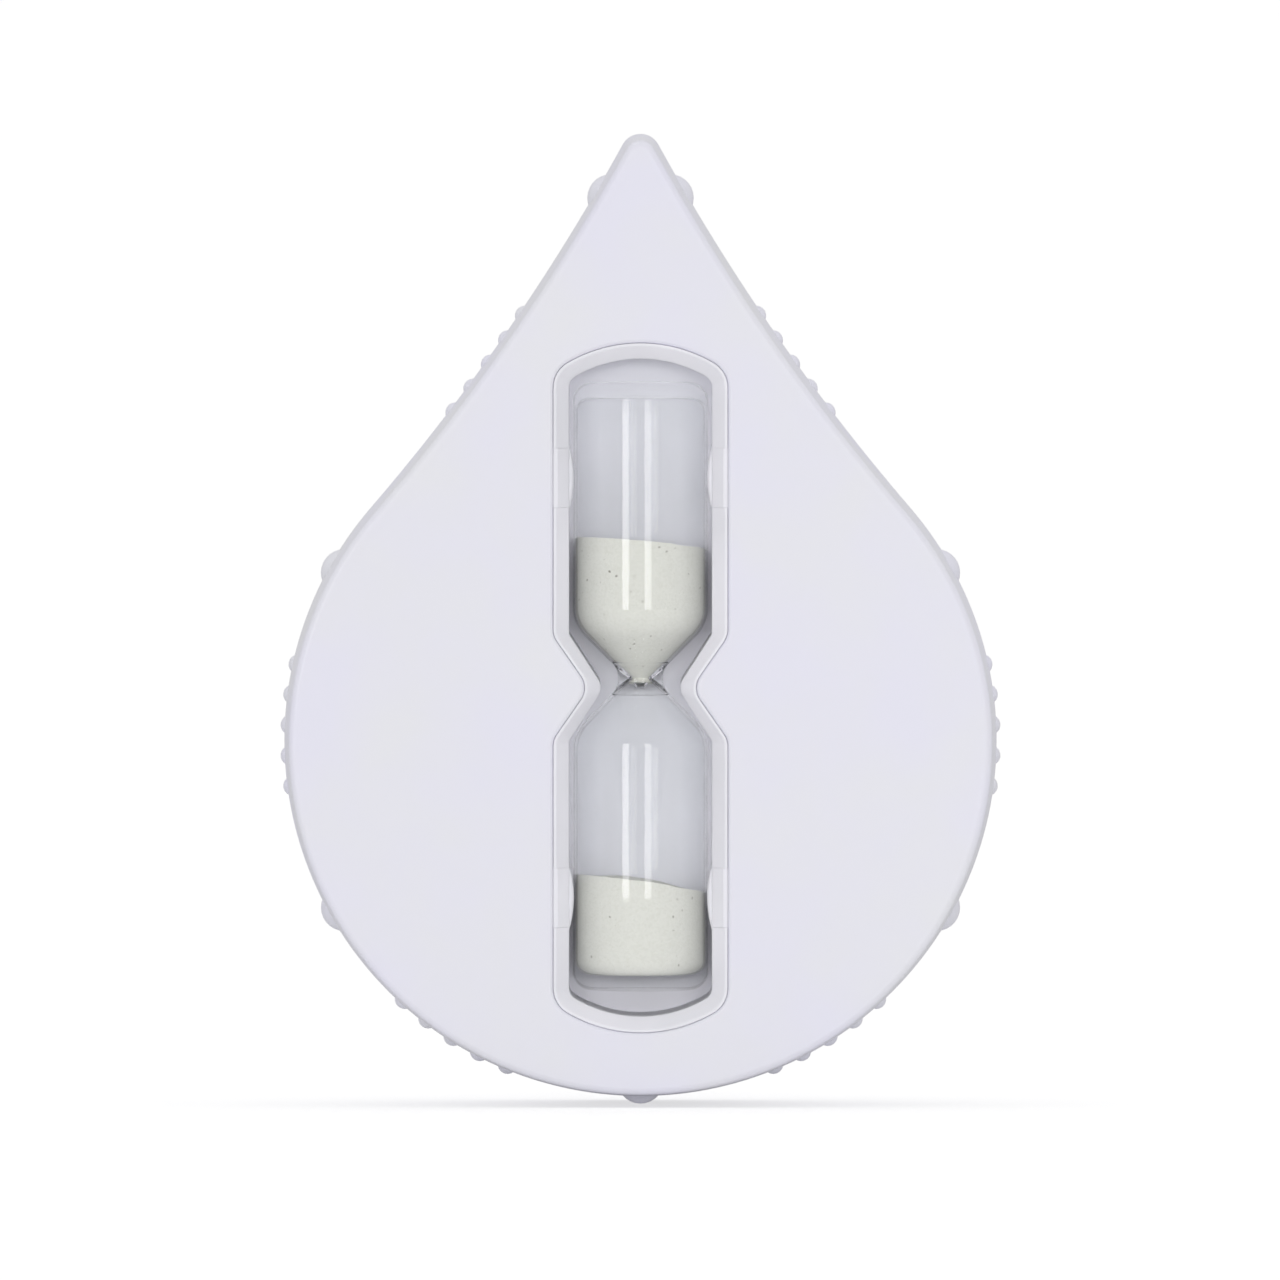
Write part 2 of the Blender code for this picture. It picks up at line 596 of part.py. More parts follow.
def make_rear_shell(white, beads):
    """The back, the rear half of the side wall, the screw wells, the tray's ribs and the pivot boss."""
    shell = loft("rear_shell", shell_rings(CASE_BACK, BACK_INSIDE, BACK_DRAFT, BACK_FILLET, -1))
    join(shell, beads)
    cut(shell, beside("before_rear_shell", REAR_SHELL_EDGE, -1))
    rebate = drop_outline(REBATE_INSET)
    rebate_floor = SEAM - LIP_HEIGHT - GAP
    cut(shell, loft("rebate", [at_depth(rebate, rebate_floor), at_depth(rebate, SEAM + PAST)], helper=True))
    root = CASE_BACK + BACK_WALL / 2
    for side, (x, z) in SCREW_PLACES.items():
        join(shell, post(f"well_{side}", x, z, WELL_RADIUS + WELL_WALL, root, REAR_SHELL_EDGE))
        join(shell, post_rib(f"rear_rib_{side}", x, z, (root, BACK_INSIDE + POST_RIB_DEPTH)))
    for sign in (-1, 1):
        middle = sign * PAD_HEIGHT_FROM_AXIS
        half = REST_RIB_THICKNESS / 2
        spread = (-REST_RIB_HALF_LENGTH, REST_RIB_HALF_LENGTH)
        name = f"rest_rib_{'lower' if sign < 0 else 'upper'}"
        join(shell, block(name, spread, (root, TRAY_BACK - GAP), (middle - half, middle + half)))
    join(shell, post("pivot_boss", 0.0, 0.0, PIVOT_BOSS_RADIUS, PIVOT_BOSS_BACK, root, ROUND_STEPS))
    for side, (x, z) in SCREW_PLACES.items():
        cut(shell, post(f"counterbore_{side}", x, z, WELL_RADIUS, CASE_BACK - PAST, WELL_FLOOR_BACK))
        cut(shell, post(f"screw_hole_{side}", x, z, HOLE_RADIUS, WELL_FLOOR_BACK - PAST, SEAM))
    bore_depths = (PIVOT_BOSS_BACK - PAST, BACK_INSIDE + PAST)
    cut(shell, post("pivot_bore", 0.0, 0.0, BORE_RADIUS, *bore_depths, ROUND_STEPS))
    shell.data.materials.append(white)
    return shell


def corner_name(sign_x, sign_z):
    """Where in the window a pad is, in words."""
    return f"{'left' if sign_x < 0 else 'right'}_{'lower' if sign_z < 0 else 'upper'}"


def snap_pad(sign_x, sign_z):
    """A helper for one pad: the part of a lens that stands out of the tray's side wall, rooted in it."""
    lens = bmesh.new()
    middle = POCKET_HALF_WIDTH - PAD_REACH + PAD_ROUNDNESS
    centre = (sign_x * middle, -(CASE_FACE - PAD_BEHIND_FACE), sign_z * PAD_HEIGHT_FROM_AXIS)
    size = Matrix.Diagonal((PAD_ROUNDNESS, PAD_DEPTH / 2, PAD_LENGTH / 2, 1.0))
    place = Matrix.Translation(centre) @ size
    bmesh.ops.create_uvsphere(lens, u_segments=16, v_segments=12, radius=1.0, matrix=place)
    root = (sign_x * (POCKET_HALF_WIDTH + PAD_ROOT), 0.0, 0.0)
    everything = lens.verts[:] + lens.edges[:] + lens.faces[:]
    outward = (sign_x, 0.0, 0.0)
    bmesh.ops.bisect_plane(lens, geom=everything, plane_co=root, plane_no=outward, clear_outer=True)
    bmesh.ops.holes_fill(lens, edges=lens.edges[:])
    return add_object(f"pad_{corner_name(sign_x, sign_z)}", lens, helper=True)


def free_finger(holder, sign_x, sign_z):
    """Cuts the holder's side wall free round one pad, so that the pad can spring outwards."""
    corner = corner_name(sign_x, sign_z)
    middle = sign_z * PAD_HEIGHT_FROM_AXIS
    ends = (middle - FINGER_LENGTH / 2, middle + FINGER_LENGTH / 2)
    root = RIM_TOP - FINGER_DEPTH
    above = CASE_FACE + PAST
    outside = FLANGE_WIDTH + RIM_HALF_WIDTH + PAST

    def span(near):
        return tuple(sorted((sign_x * near, sign_x * outside)))

    behind = span(RIM_HALF_WIDTH - FINGER_RELIEF)
    cut(holder, block(f"relief_{corner}", behind, (root, FACE_INSIDE), ends))
    across = span(POCKET_HALF_WIDTH - PAST)
    cut(holder, block(f"finger_end_{corner}", across, (RIM_TOP - FINGER_STEP, above), ends))
    half = SLOT_WIDTH / 2
    for side, end in zip(("bottom", "top"), ends):
        cut(holder, block(f"slot_{corner}_{side}", across, (root, above), (end - half, end + half)))


def make_vial_holder(white):
    """The tray behind the window, with its chamfered rim, its flange and its four snap pads."""
    flange_front = FACE_INSIDE - GAP
    flange = RIM.grown(FLANGE_WIDTH).ring()
    rings = [
        at_depth(POCKET.ring(), TRAY_FLOOR_FRONT),
        at_depth(POCKET.ring(), RIM_TOP - CHAMFER_DEPTH),
    ]
    for inward, outward in reversed(fillet_steps(RIM_EDGE_RADIUS, 2)):
        rings.append(at_depth(RIM.grown(-inward).ring(), RIM_TOP - RIM_EDGE_RADIUS + outward))
    rings += [
        at_depth(RIM.ring(), flange_front),
        at_depth(flange, flange_front),
        at_depth(flange, flange_front - FLANGE_THICKNESS),
        at_depth(RIM.ring(), flange_front - FLANGE_THICKNESS),
        at_depth(RIM.ring(), TRAY_BACK),
    ]
    holder = loft("vial_holder", rings)
    corners = [(sign_x, sign_z) for sign_x in (-1, 1) for sign_z in (-1, 1)]
    for sign_x, sign_z in corners:
        join(holder, snap_pad(sign_x, sign_z))
    for sign_x, sign_z in corners:
        free_finger(holder, sign_x, sign_z)
    holder.data.materials.append(white)
    return holder


def bulb_curve(wall, neck_radius, steps):
    """(radius, height above the neck) points from the neck out to a bulb's straight side, less a wall.

    The curve is the neck's arc, a straight sloping shoulder and the shoulder's arc, each touching the next.
    """
    slope = math.radians(SHOULDER_SLOPE_DEG)
    line = (NECK_RADIUS + NECK_CURVE_RADIUS) * math.cos(slope) - NECK_CURVE_RADIUS - wall
    neck_curve = (neck_radius * math.cos(slope) - line) / (1 - math.cos(slope))
    side_curve = SHOULDER_RADIUS - wall
    side_x = VIAL_RADIUS - SHOULDER_RADIUS
    side_z = (side_x * math.cos(slope) + side_curve - line) / math.sin(slope)
    turns = [slope * i / steps for i in range(steps + 1)]
    points = []
    for turn in turns:
        points.append((neck_radius + neck_curve * (1 - math.cos(turn)), neck_curve * math.sin(turn)))
    for turn in reversed(turns):
        points.append((side_x + side_curve * math.cos(turn), side_z - side_curve * math.sin(turn)))
    return points


def vial_side(wall, neck_radius, half_length, corner, steps=3):
    """(radius, height) points down the vial's outside, or its inside, from top corner to bottom corner."""
    side_x = VIAL_RADIUS - wall
    upper_corner = arc((side_x - corner, half_length - corner), corner, 90.0, 0.0, 3)
    curve = bulb_curve(wall, neck_radius, steps)
    upper = [(x, NECK_ABOVE_AXIS + height) for x, height in reversed(curve)]
    lower = [(x, NECK_ABOVE_AXIS - height) for x, height in curve[1:]]
    lower_corner = [(x, -z) for x, z in reversed(upper_corner)]
    return upper_corner + upper + lower + lower_corner


def make_glass_vial(glass):
    """The glass, with its hollow; the solid keeps the filling hole at its top open."""
    outside = vial_side(0.0, NECK_RADIUS, VIAL_HALF_LENGTH, VIAL_CORNER_RADIUS)
    inside = vial_side(VIAL_WALL, NECK_BORE_RADIUS, VIAL_HALF_LENGTH - VIAL_BASE, VIAL_INNER_CORNER_RADIUS)
    end = VIAL_HALF_LENGTH
    profile = [(0.0, -end + VIAL_BASE)]
    profile += reversed(inside)
    profile += [(FILL_HOLE_RADIUS, end - VIAL_BASE), (FILL_HOLE_RADIUS, end)]
    profile += outside
    profile += [(0.0, -end)]
    vial = turned("glass_vial", profile, VIAL_STEPS, along_pivot=False, place=(0.0, -VIAL_AXIS, 0.0))
    vial.data.materials.append(glass)
    return vial


def level_cut(name, level, tilt_deg):
    """A helper block whose lower face is a sand surface that falls to the right."""
    reach = 2 * VIAL_RADIUS
    tilt = Matrix.Translation((0.0, 0.0, level)) @ Matrix.Rotation(math.radians(tilt_deg), 4, "Y")
    depths = (VIAL_AXIS - reach, VIAL_AXIS + reach)
    return block(name, (-reach, reach), depths, (0.0, 3 * reach), tilt)


def make_upper_sand(sand_white):
    """Sand from the neck up to its level in the upper bulb."""
    wall = VIAL_WALL + GAP
    curve = bulb_curve(wall, SAND_NECK_RADIUS, 3)
    top = UPPER_SAND_LEVEL + VIAL_RADIUS
    profile = [(0.0, top), (VIAL_RADIUS - wall, top)]
    profile += [(x, NECK_ABOVE_AXIS + height) for x, height in reversed(curve)]
    profile += [(0.0, NECK_ABOVE_AXIS)]
    sand = turned("upper_sand", profile, VIAL_STEPS, along_pivot=False, place=(0.0, -VIAL_AXIS, 0.0))
    cut(sand, level_cut("upper_level", UPPER_SAND_LEVEL, UPPER_SAND_TILT_DEG))
    sand.data.materials.append(sand_white)
    return sand


def make_lower_sand(sand_white):
    """The heap in the lower bulb."""
    radius = VIAL_RADIUS - VIAL_WALL - GAP
    floor = -VIAL_HALF_LENGTH + VIAL_BASE + GAP
    top = -LOWER_SAND_LEVEL + VIAL_RADIUS
    corner_centre = (radius - SAND_CORNER_RADIUS, floor + SAND_CORNER_RADIUS)
    corner = arc(corner_centre, SAND_CORNER_RADIUS, 0.0, -90.0, 4)
    profile = [(0.0, top), (radius, top)] + corner + [(0.0, floor)]
    sand = turned("lower_sand", profile, VIAL_STEPS, along_pivot=False, place=(0.0, -VIAL_AXIS, 0.0))
    cut(sand, level_cut("lower_level", -LOWER_SAND_LEVEL, LOWER_SAND_TILT_DEG))
    sand.data.materials.append(sand_white)
    return sand


def make_case_screws(steel):
    """Three pan-head screws, which share one mesh."""
    radius = SCREW_HEAD_RADIUS
    shank = SCREW_SHANK_RADIUS
    tip = SCREW_SEAT + SCREW_LENGTH
    profile = [(0.0, tip), (shank * 0.3, tip), (shank, tip - SCREW_POINT), (shank, SCREW_SEAT)]
    profile.append((radius, SCREW_SEAT))
    dome = SCREW_HEAD_HEIGHT * 0.6
    head_back = SCREW_SEAT - SCREW_HEAD_HEIGHT
    for turn in (90.0, 60.0, 30.0, 0.0):
        lean = math.radians(turn)
        profile.append((radius * math.sin(lean), head_back + dome * (1 - math.cos(lean))))
    mesh = None
    screws = []
    for side, (x, z) in SCREW_PLACES.items():
        screw = turned(f"case_screw_{side}", profile, SMALL_ROUND_STEPS, place=(x, 0.0, z))
        if mesh is None:
            mesh = screw.data
            mesh.materials.append(steel)
        else:
            spare = screw.data
            screw.data = mesh
            bpy.data.meshes.remove(spare)
        screws.append(screw)
    return screws


def make_suction_cup(clear_vinyl):
    """The cup, moulded round the stud's head."""
    hole = STUD_HOLE_RADIUS
    pocket = STUD_HEAD_RADIUS + GAP
    pocket_back = STUD_HEAD_BACK - GAP
    pocket_front = STUD_HEAD_FRONT + GAP
    edge = CUP_EDGE_RADIUS
    shoulder = CUP_FRONT - CUP_BOSS_HEIGHT
    profile = [(0.0, pocket_back), (pocket, pocket_back), (pocket, pocket_front), (hole, pocket_front)]
    profile += [(hole, CUP_FRONT)]
    profile += arc((CUP_BOSS_RADIUS - edge, CUP_FRONT - edge), edge, 90.0, 0.0, 2)
    profile += [(CUP_BOSS_RADIUS, shoulder)]
    steps = 6
    lip = (CUP_RADIUS, CUP_LIP_THICKNESS)
    for i in range(1, steps):
        share = i / steps
        radius = CUP_BOSS_RADIUS + (lip[0] - CUP_BOSS_RADIUS) * share
        profile.append((radius, lip[1] + (shoulder - lip[1]) * (1 - share) ** 1.5))
    profile += [lip, (CUP_RADIUS, 0.0)]
    inner = CUP_RADIUS - CUP_LIP_WIDTH
    profile.append((inner, 0.0))
    for i in range(1, steps + 1):
        share = 1 - i / steps
        profile.append((inner * share, CUP_DISH_DEPTH * (1 - share**2)))
    cup = turned("suction_cup", profile, ROUND_STEPS)
    cup.data.materials.append(clear_vinyl)
    return cup


def make_pivot_stud(steel):
    """The stud: a flat head inside the cup and a shaft through the case's back to its nut."""
    chamfer = STUD_RADIUS * 0.2
    profile = [
        (0.0, STUD_END),
        (STUD_RADIUS - chamfer, STUD_END),
        (STUD_RADIUS, STUD_END - chamfer),
        (STUD_RADIUS, STUD_HEAD_FRONT),
        (STUD_HEAD_RADIUS, STUD_HEAD_FRONT),
        (STUD_HEAD_RADIUS, STUD_HEAD_BACK),
        (0.0, STUD_HEAD_BACK),
    ]
    stud = turned("pivot_stud", profile, ROUND_STEPS)
    stud.data.materials.append(steel)
    return stud


def make_washer(name, radius, back, front, finish, steps=24):
    """A flat washer on the stud, between two depths."""
    hole = STUD_HOLE_RADIUS
    profile = [(hole, back), (hole, front), (radius, front), (radius, back), (hole, back)]
    washer = turned(name, profile, steps)
    washer.data.materials.append(finish)
    return washer


def make_pivot_nut(steel):
    """A plain hexagon nut."""
    corner_radius = NUT_ACROSS_FLATS / 2 / math.cos(math.radians(30.0))
    bm = bmesh.new()
    middle = Matrix.Translation((0.0, -(NUT_BACK + NUT_HEIGHT / 2), 0.0))
    bmesh.ops.create_cone(
        bm,
        cap_ends=True,
        segments=6,
        radius1=corner_radius,
        radius2=corner_radius,
        depth=NUT_HEIGHT,
        matrix=middle @ Matrix.Rotation(math.radians(90.0), 4, "X"),
    )
    nut = add_object("pivot_nut", bm)
    cut(nut, post("nut_bore", 0.0, 0.0, STUD_HOLE_RADIUS, NUT_BACK - PAST, NUT_BACK + NUT_HEIGHT + PAST))
    nut.data.materials.append(steel)
    return nut


def shade_round(obj):
    """Smooth shading with sharp edges, for the round pieces."""
    obj.data.shade_smooth()
    obj.data.set_sharp_from_angle(angle=math.radians(35.0))


def make_timer():
    """Builds every piece; those that turn together hang on an empty on the turning axis."""
    clear_scene()
    white = material("white_abs", (0.72, 0.72, 0.78), 0.35)
    glass = material("soda_lime_glass", (0.95, 0.97, 0.97), 0.02, transmission=1.0)
    sand_white = material("white_sand", (0.82, 0.81, 0.78), 0.95)
    clear_vinyl = material("clear_vinyl", (0.85, 0.87, 0.88), 0.12, transmission=0.8)
    rubber = material("grey_silicone", (0.28, 0.28, 0.29), 0.7)
    steel = material("stainless_steel", (0.62, 0.62, 0.62), 0.3, metallic=1.0)

    beads = bead_caps("grip_beads")
    turning = [
        make_front_shell(white, beads),
        make_rear_shell(white, beads),
        make_vial_holder(white),
        make_glass_vial(glass),
        make_upper_sand(sand_white),
        make_lower_sand(sand_white),
        *make_case_screws(steel),
    ]
    make_suction_cup(clear_vinyl)
    make_pivot_stud(steel)
    make_washer("friction_washer", FRICTION_WASHER_RADIUS, WASHER_BACK, WASHER_FRONT, rubber)
    make_washer("plain_washer", PLAIN_WASHER_RADIUS, PLAIN_WASHER_BACK, PLAIN_WASHER_FRONT, steel)
    make_pivot_nut(steel)

    axis = bpy.data.objects.new("turning_axis", None)
    parts.objects.link(axis)
    for obj in turning:
        obj.parent = axis
    for obj in parts.objects:
        if obj.type == "MESH":
            shade_round(obj)


make_timer()
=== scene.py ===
"""Looks of a drop-shaped shower timer: a sand glass in a moulded case that turns on a suction cup.

Everything is in metres, with +Z up. The wall that the cup grips is the plane y = 0, with +Y into it, and the
origin is the point of that plane on the turning axis. The timer faces -Y. A depth is a distance out from the
wall, so a point at depth d has y = -d. Angles in the front plane go from +X towards +Z.
"""

import logging
import math
from dataclasses import dataclass, field, fields, replace
from enum import Enum

import bmesh
import bpy
from mathutils import Matrix, Vector, noise


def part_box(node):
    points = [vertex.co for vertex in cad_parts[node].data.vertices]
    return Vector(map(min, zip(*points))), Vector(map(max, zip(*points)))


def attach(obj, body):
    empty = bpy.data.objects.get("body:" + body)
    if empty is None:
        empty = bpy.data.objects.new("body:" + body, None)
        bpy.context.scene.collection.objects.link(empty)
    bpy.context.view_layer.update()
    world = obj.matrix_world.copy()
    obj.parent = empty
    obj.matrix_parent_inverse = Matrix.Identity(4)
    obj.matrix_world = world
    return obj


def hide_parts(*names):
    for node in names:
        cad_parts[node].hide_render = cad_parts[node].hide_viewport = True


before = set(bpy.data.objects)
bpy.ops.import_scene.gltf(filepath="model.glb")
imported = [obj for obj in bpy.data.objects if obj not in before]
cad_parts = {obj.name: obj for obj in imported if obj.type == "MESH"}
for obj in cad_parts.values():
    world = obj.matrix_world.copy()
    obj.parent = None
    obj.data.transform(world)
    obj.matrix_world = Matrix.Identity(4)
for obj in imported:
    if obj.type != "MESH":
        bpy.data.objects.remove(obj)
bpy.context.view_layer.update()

MM = 0.001
TOUCHING = 0.002 * MM                   # vertices closer than this are one
PAST = 1.0 * MM                         # how far a cutter reaches past what it cuts
AROUND = 75.0 * MM                      # half the width of a cutter that takes in the whole case
SHARP_DEG = 30.0                        # an edge with a larger turn than this is a crease

log = logging.getLogger("shower_timer")


class Slot(Enum):
    """The record's material slots."""

    WHITE_ABS = "white_abs"
    GLASS = "soda_lime_glass"
    SAND = "white_sand"
    STEEL = "stainless_steel"
    VINYL = "clear_vinyl"
    SILICONE = "grey_silicone"


class Body(Enum):
    """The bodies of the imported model."""

    WALL_MOUNT = "wall_mount"
    TIMER = "timer"


class Facing(Enum):
    """Which way a face looks along the depth; the value is the sign of its normal in y."""

    FRONT = -1
    BACK = 1


class Carve(Enum):
    """What a helper does to a piece."""

    JOIN = "UNION"
    CUT = "DIFFERENCE"
    KEEP = "INTERSECT"


# Materials


def linear(hex_colour: str) -> tuple[float, float, float, float]:
    """Turns an sRGB colour to the linear one that a shader takes.

    Args:
        hex_colour: six hex digits after a #.

    Returns:
        Linear red, green, blue and an alpha of one.
    """
    channels = []
    for start in (1, 3, 5):
        value = int(hex_colour[start:start + 2], 16) / 255
        channels.append(value / 12.92 if value <= 0.04045 else ((value + 0.055) / 1.055) ** 2.4)
    return (*channels, 1.0)


def add_node(
    tree: bpy.types.NodeTree,
    kind: str,
    settings: dict[str, object] | None = None,
    inputs: dict[str | int, object] | None = None,
    outputs: dict[str, bpy.types.NodeSocket] | None = None,
    stops: tuple[tuple[float, str], ...] = (),
) -> bpy.types.Node:
    """Adds a node with its settings and its links.

    Args:
        tree: the tree that takes the node.
        kind: the node's type.
        settings: properties of the node by name.
        inputs: for each input, by name or number, a plain value or the socket that feeds it.
        outputs: for each output, by name, the socket that it feeds.
        stops: a colour ramp's places and sRGB hex colours, in order.

    Returns:
        The new node.
    """
    node = tree.nodes.new(kind)
    for name, value in (settings or {}).items():
        setattr(node, name, value)
    for key, value in (inputs or {}).items():
        if isinstance(value, bpy.types.NodeSocket):
            tree.links.new(value, node.inputs[key])
        else:
            node.inputs[key].default_value = value
    for name, socket in (outputs or {}).items():
        tree.links.new(node.outputs[name], socket)
    if stops:
        elements = node.color_ramp.elements
        while len(elements) < len(stops):
            elements.new(0.5)
        for element, (place, colour) in zip(elements, stops):
            element.position = place
            element.color = linear(colour)
    return node


@dataclass(frozen=True)
class Surface:
    """What a finish works on: the tree, its Principled shader and the piece's Object coordinates."""

    tree: bpy.types.NodeTree
    shader: bpy.types.Node
    place: bpy.types.NodeSocket


@dataclass(frozen=True)
class Finish:
    """A named finish; each kind below says how its surface is made."""

    name: str
    colour: str
    roughness: float
    ior: float = 1.5

    def make(self) -> bpy.types.Material:
        """Makes the material.

        Returns:
            The material, with one Principled shader.
        """
        material = bpy.data.materials.new(self.name)
        material.use_nodes = True
        tree = material.node_tree
        shader = tree.nodes["Principled BSDF"]
        shader.inputs["Base Color"].default_value = linear(self.colour)
        shader.inputs["Roughness"].default_value = self.roughness
        shader.inputs["IOR"].default_value = self.ior
        self.dress(Surface(tree, shader, add_node(tree, "ShaderNodeTexCoord").outputs["Object"]))
        return material

    def dress(self, on: Surface) -> None:
        """Adds the finish's own nodes."""


@dataclass(frozen=True)
class MouldedAbs(Finish):
    """White ABS out of a satin mould: even colour with a cool cast, a soft sheen and a very fine texture."""

    shade: str = "#F0F0F6"
    cloud_size: float = 14.0 * MM
    texture_size: float = 0.35 * MM     # drawn about four times as coarse as a real mould's, to show
    texture_height: float = 0.0025 * MM
    sheen_change: float = 0.05

    def dress(self, on: Surface) -> None:
        """Varies colour and sheen a little over the surface and adds the mould's texture.

        Args:
            on: the surface.
        """
        clouds = {"Vector": on.place, "Scale": 1.0 / self.cloud_size, "Detail": 2.0}
        cloud = add_node(on.tree, "ShaderNodeTexNoise", inputs=clouds)
        add_node(
            on.tree,
            "ShaderNodeValToRGB",
            inputs={"Fac": cloud.outputs["Fac"]},
            outputs={"Color": on.shader.inputs["Base Color"]},
            stops=((0.3, self.shade), (0.7, self.colour)),
        )
        specks = {"Vector": on.place, "Scale": 1.0 / self.texture_size, "Detail": 3.0}
        texture = add_node(on.tree, "ShaderNodeTexNoise", inputs=specks).outputs["Fac"]
        sheen = {
            "Value": texture,
            "To Min": self.roughness - self.sheen_change,
            "To Max": self.roughness + self.sheen_change,
        }
        to_roughness = {"Result": on.shader.inputs["Roughness"]}
        add_node(on.tree, "ShaderNodeMapRange", inputs=sheen, outputs=to_roughness)
        relief = {"Height": texture, "Distance": self.texture_height}
        add_node(on.tree, "ShaderNodeBump", inputs=relief, outputs={"Normal": on.shader.inputs["Normal"]})


@dataclass(frozen=True)
class DrawnGlass(Finish):
    """Lamp-worked soda-lime glass: clear, with the mirror gloss of a flame-polished skin.

    The thin wall of a bulb hardly bends what is seen through it, so its body has a low index, and only the
    skin on top has the real one. Slow ripples from drawing the tube make its glints waver. The thick glass at
    the neck has a higher index and no skin of its own.
    """

    ripple_size: float = 2.5 * MM
    ripple_height: float = 0.002 * MM
    ripple_share: float = 0.6
    stretch: float = 0.12               # the ripples run this much slower along the tube
    gloss: float = 1.0                  # of the skin
    skin_ior: float = 1.52
    dust: float = 0.2                   # from the sand; it shows where the wall is seen edge on
    dust_roughness: float = 0.3
    body: float = 0.42                  # the rest passes straight through, as through a very thin wall

    def dress(self, on: Surface) -> None:
        """Makes the shader clear and adds the ripples.

        Args:
            on: the surface.
        """
        values = {
            "Transmission Weight": 1.0,
            "Coat Weight": self.gloss,
            "Coat IOR": self.skin_ior,
            "Coat Roughness": 0.0,
            "Alpha": self.body,
            "Sheen Weight": self.dust,
            "Sheen Roughness": self.dust_roughness,
        }
        for name, value in values.items():
            on.shader.inputs[name].default_value = value
        slow = {"Vector": on.place, "Scale": (1.0, 1.0, self.stretch)}
        stretched = add_node(on.tree, "ShaderNodeMapping", inputs=slow).outputs["Vector"]
        ripples = {"Vector": stretched, "Scale": 1.0 / self.ripple_size, "Detail": 1.0}
        ripple = add_node(on.tree, "ShaderNodeTexNoise", inputs=ripples).outputs["Fac"]
        relief = {"Height": ripple, "Distance": self.ripple_height, "Strength": self.ripple_share}
        to_normal = {"Normal": on.shader.inputs["Normal"]}
        bump = add_node(on.tree, "ShaderNodeBump", inputs=relief, outputs=to_normal)
        on.tree.links.new(bump.outputs["Normal"], on.shader.inputs["Coat Normal"])


@dataclass(frozen=True)
class WashedSand(Finish):
    """Fine washed quartz sand: dull white grains, a touch warm, with a dark one here and there."""

    grain_size: float = 0.24 * MM       # about twice the real grain, so that single ones show
    grain_height: float = 0.03 * MM
    grain_share: float = 0.7
    dark: str = "#9A968C"
    dark_share: float = 0.0012
    dull: str = "#E7E7DF"
    bright: str = "#EDEDE6"

    def dress(self, on: Surface) -> None:
        """Gives each grain its own shade and rounds its top.

        Args:
            on: the surface.
        """
        grains = {"Vector": on.place, "Scale": 1.0 / self.grain_size}
        cells = add_node(on.tree, "ShaderNodeTexVoronoi", inputs=grains)
        shade = add_node(on.tree, "ShaderNodeSeparateColor", inputs={"Color": cells.outputs["Color"]})
        add_node(
            on.tree,
            "ShaderNodeValToRGB",
            inputs={"Fac": shade.outputs["Red"]},
            outputs={"Color": on.shader.inputs["Base Color"]},
            stops=((0.0, self.dark), (self.dark_share, self.dull), (0.35, self.colour), (1.0, self.bright)),
        )
        falling = {0: 1.0, 1: cells.outputs["Distance"]}
        rounded = add_node(on.tree, "ShaderNodeMath", {"operation": "SUBTRACT"}, falling).outputs["Value"]
        relief = {"Height": rounded, "Distance": self.grain_height, "Strength": self.grain_share}
        add_node(on.tree, "ShaderNodeBump", inputs=relief, outputs={"Normal": on.shader.inputs["Normal"]})


@dataclass(frozen=True)
class SoftVinyl(Finish):
    """Clear plasticised PVC: see-through, slightly milky and cool, with a wet shine from a polished mould."""

    clearness: float = 0.9
    haze_size: float = 3.0 * MM
    haze: float = 0.06

    def dress(self, on: Surface) -> None:
        """Makes the shader see-through with an uneven haze.

        Args:
            on: the surface.
        """
        on.shader.inputs["Transmission Weight"].default_value = self.clearness
        clouds = {"Vector": on.place, "Scale": 1.0 / self.haze_size, "Detail": 2.0}
        cloud = add_node(on.tree, "ShaderNodeTexNoise", inputs=clouds).outputs["Fac"]
        haze = {"Value": cloud, "To Min": self.roughness, "To Max": self.roughness + self.haze}
        to_roughness = {"Result": on.shader.inputs["Roughness"]}
        add_node(on.tree, "ShaderNodeMapRange", inputs=haze, outputs=to_roughness)


@dataclass(frozen=True)
class TurnedSteel(Finish):
    """Bright stainless steel with the fine rings that turning leaves round the part's own axis."""

    colour: str = "#C9C8C5"
    roughness: float = 0.28
    ring_pitch: float = 0.12 * MM
    ring_height: float = 0.003 * MM
    axis: tuple[float, float] = (0.0, 0.0)

    def dress(self, on: Surface) -> None:
        """Makes the shader metal and adds rings round an axis along the depth.

        Args:
            on: the surface.
        """
        on.shader.inputs["Metallic"].default_value = 1.0
        across = {
            "Vector": on.place,
            "Location": (-self.axis[0], 0.0, -self.axis[1]),
            "Scale": (1.0, 0.0, 1.0),
        }
        flat = add_node(on.tree, "ShaderNodeMapping", inputs=across).outputs["Vector"]
        radius = add_node(on.tree, "ShaderNodeVectorMath", {"operation": "LENGTH"}, {0: flat})
        rings = {0: radius.outputs["Value"], 1: math.tau / self.ring_pitch}
        turns = add_node(on.tree, "ShaderNodeMath", {"operation": "MULTIPLY"}, rings)
        wave = add_node(on.tree, "ShaderNodeMath", {"operation": "SINE"}, {0: turns.outputs["Value"]})
        relief = {"Height": wave.outputs["Value"], "Distance": self.ring_height}
        add_node(on.tree, "ShaderNodeBump", inputs=relief, outputs={"Normal": on.shader.inputs["Normal"]})


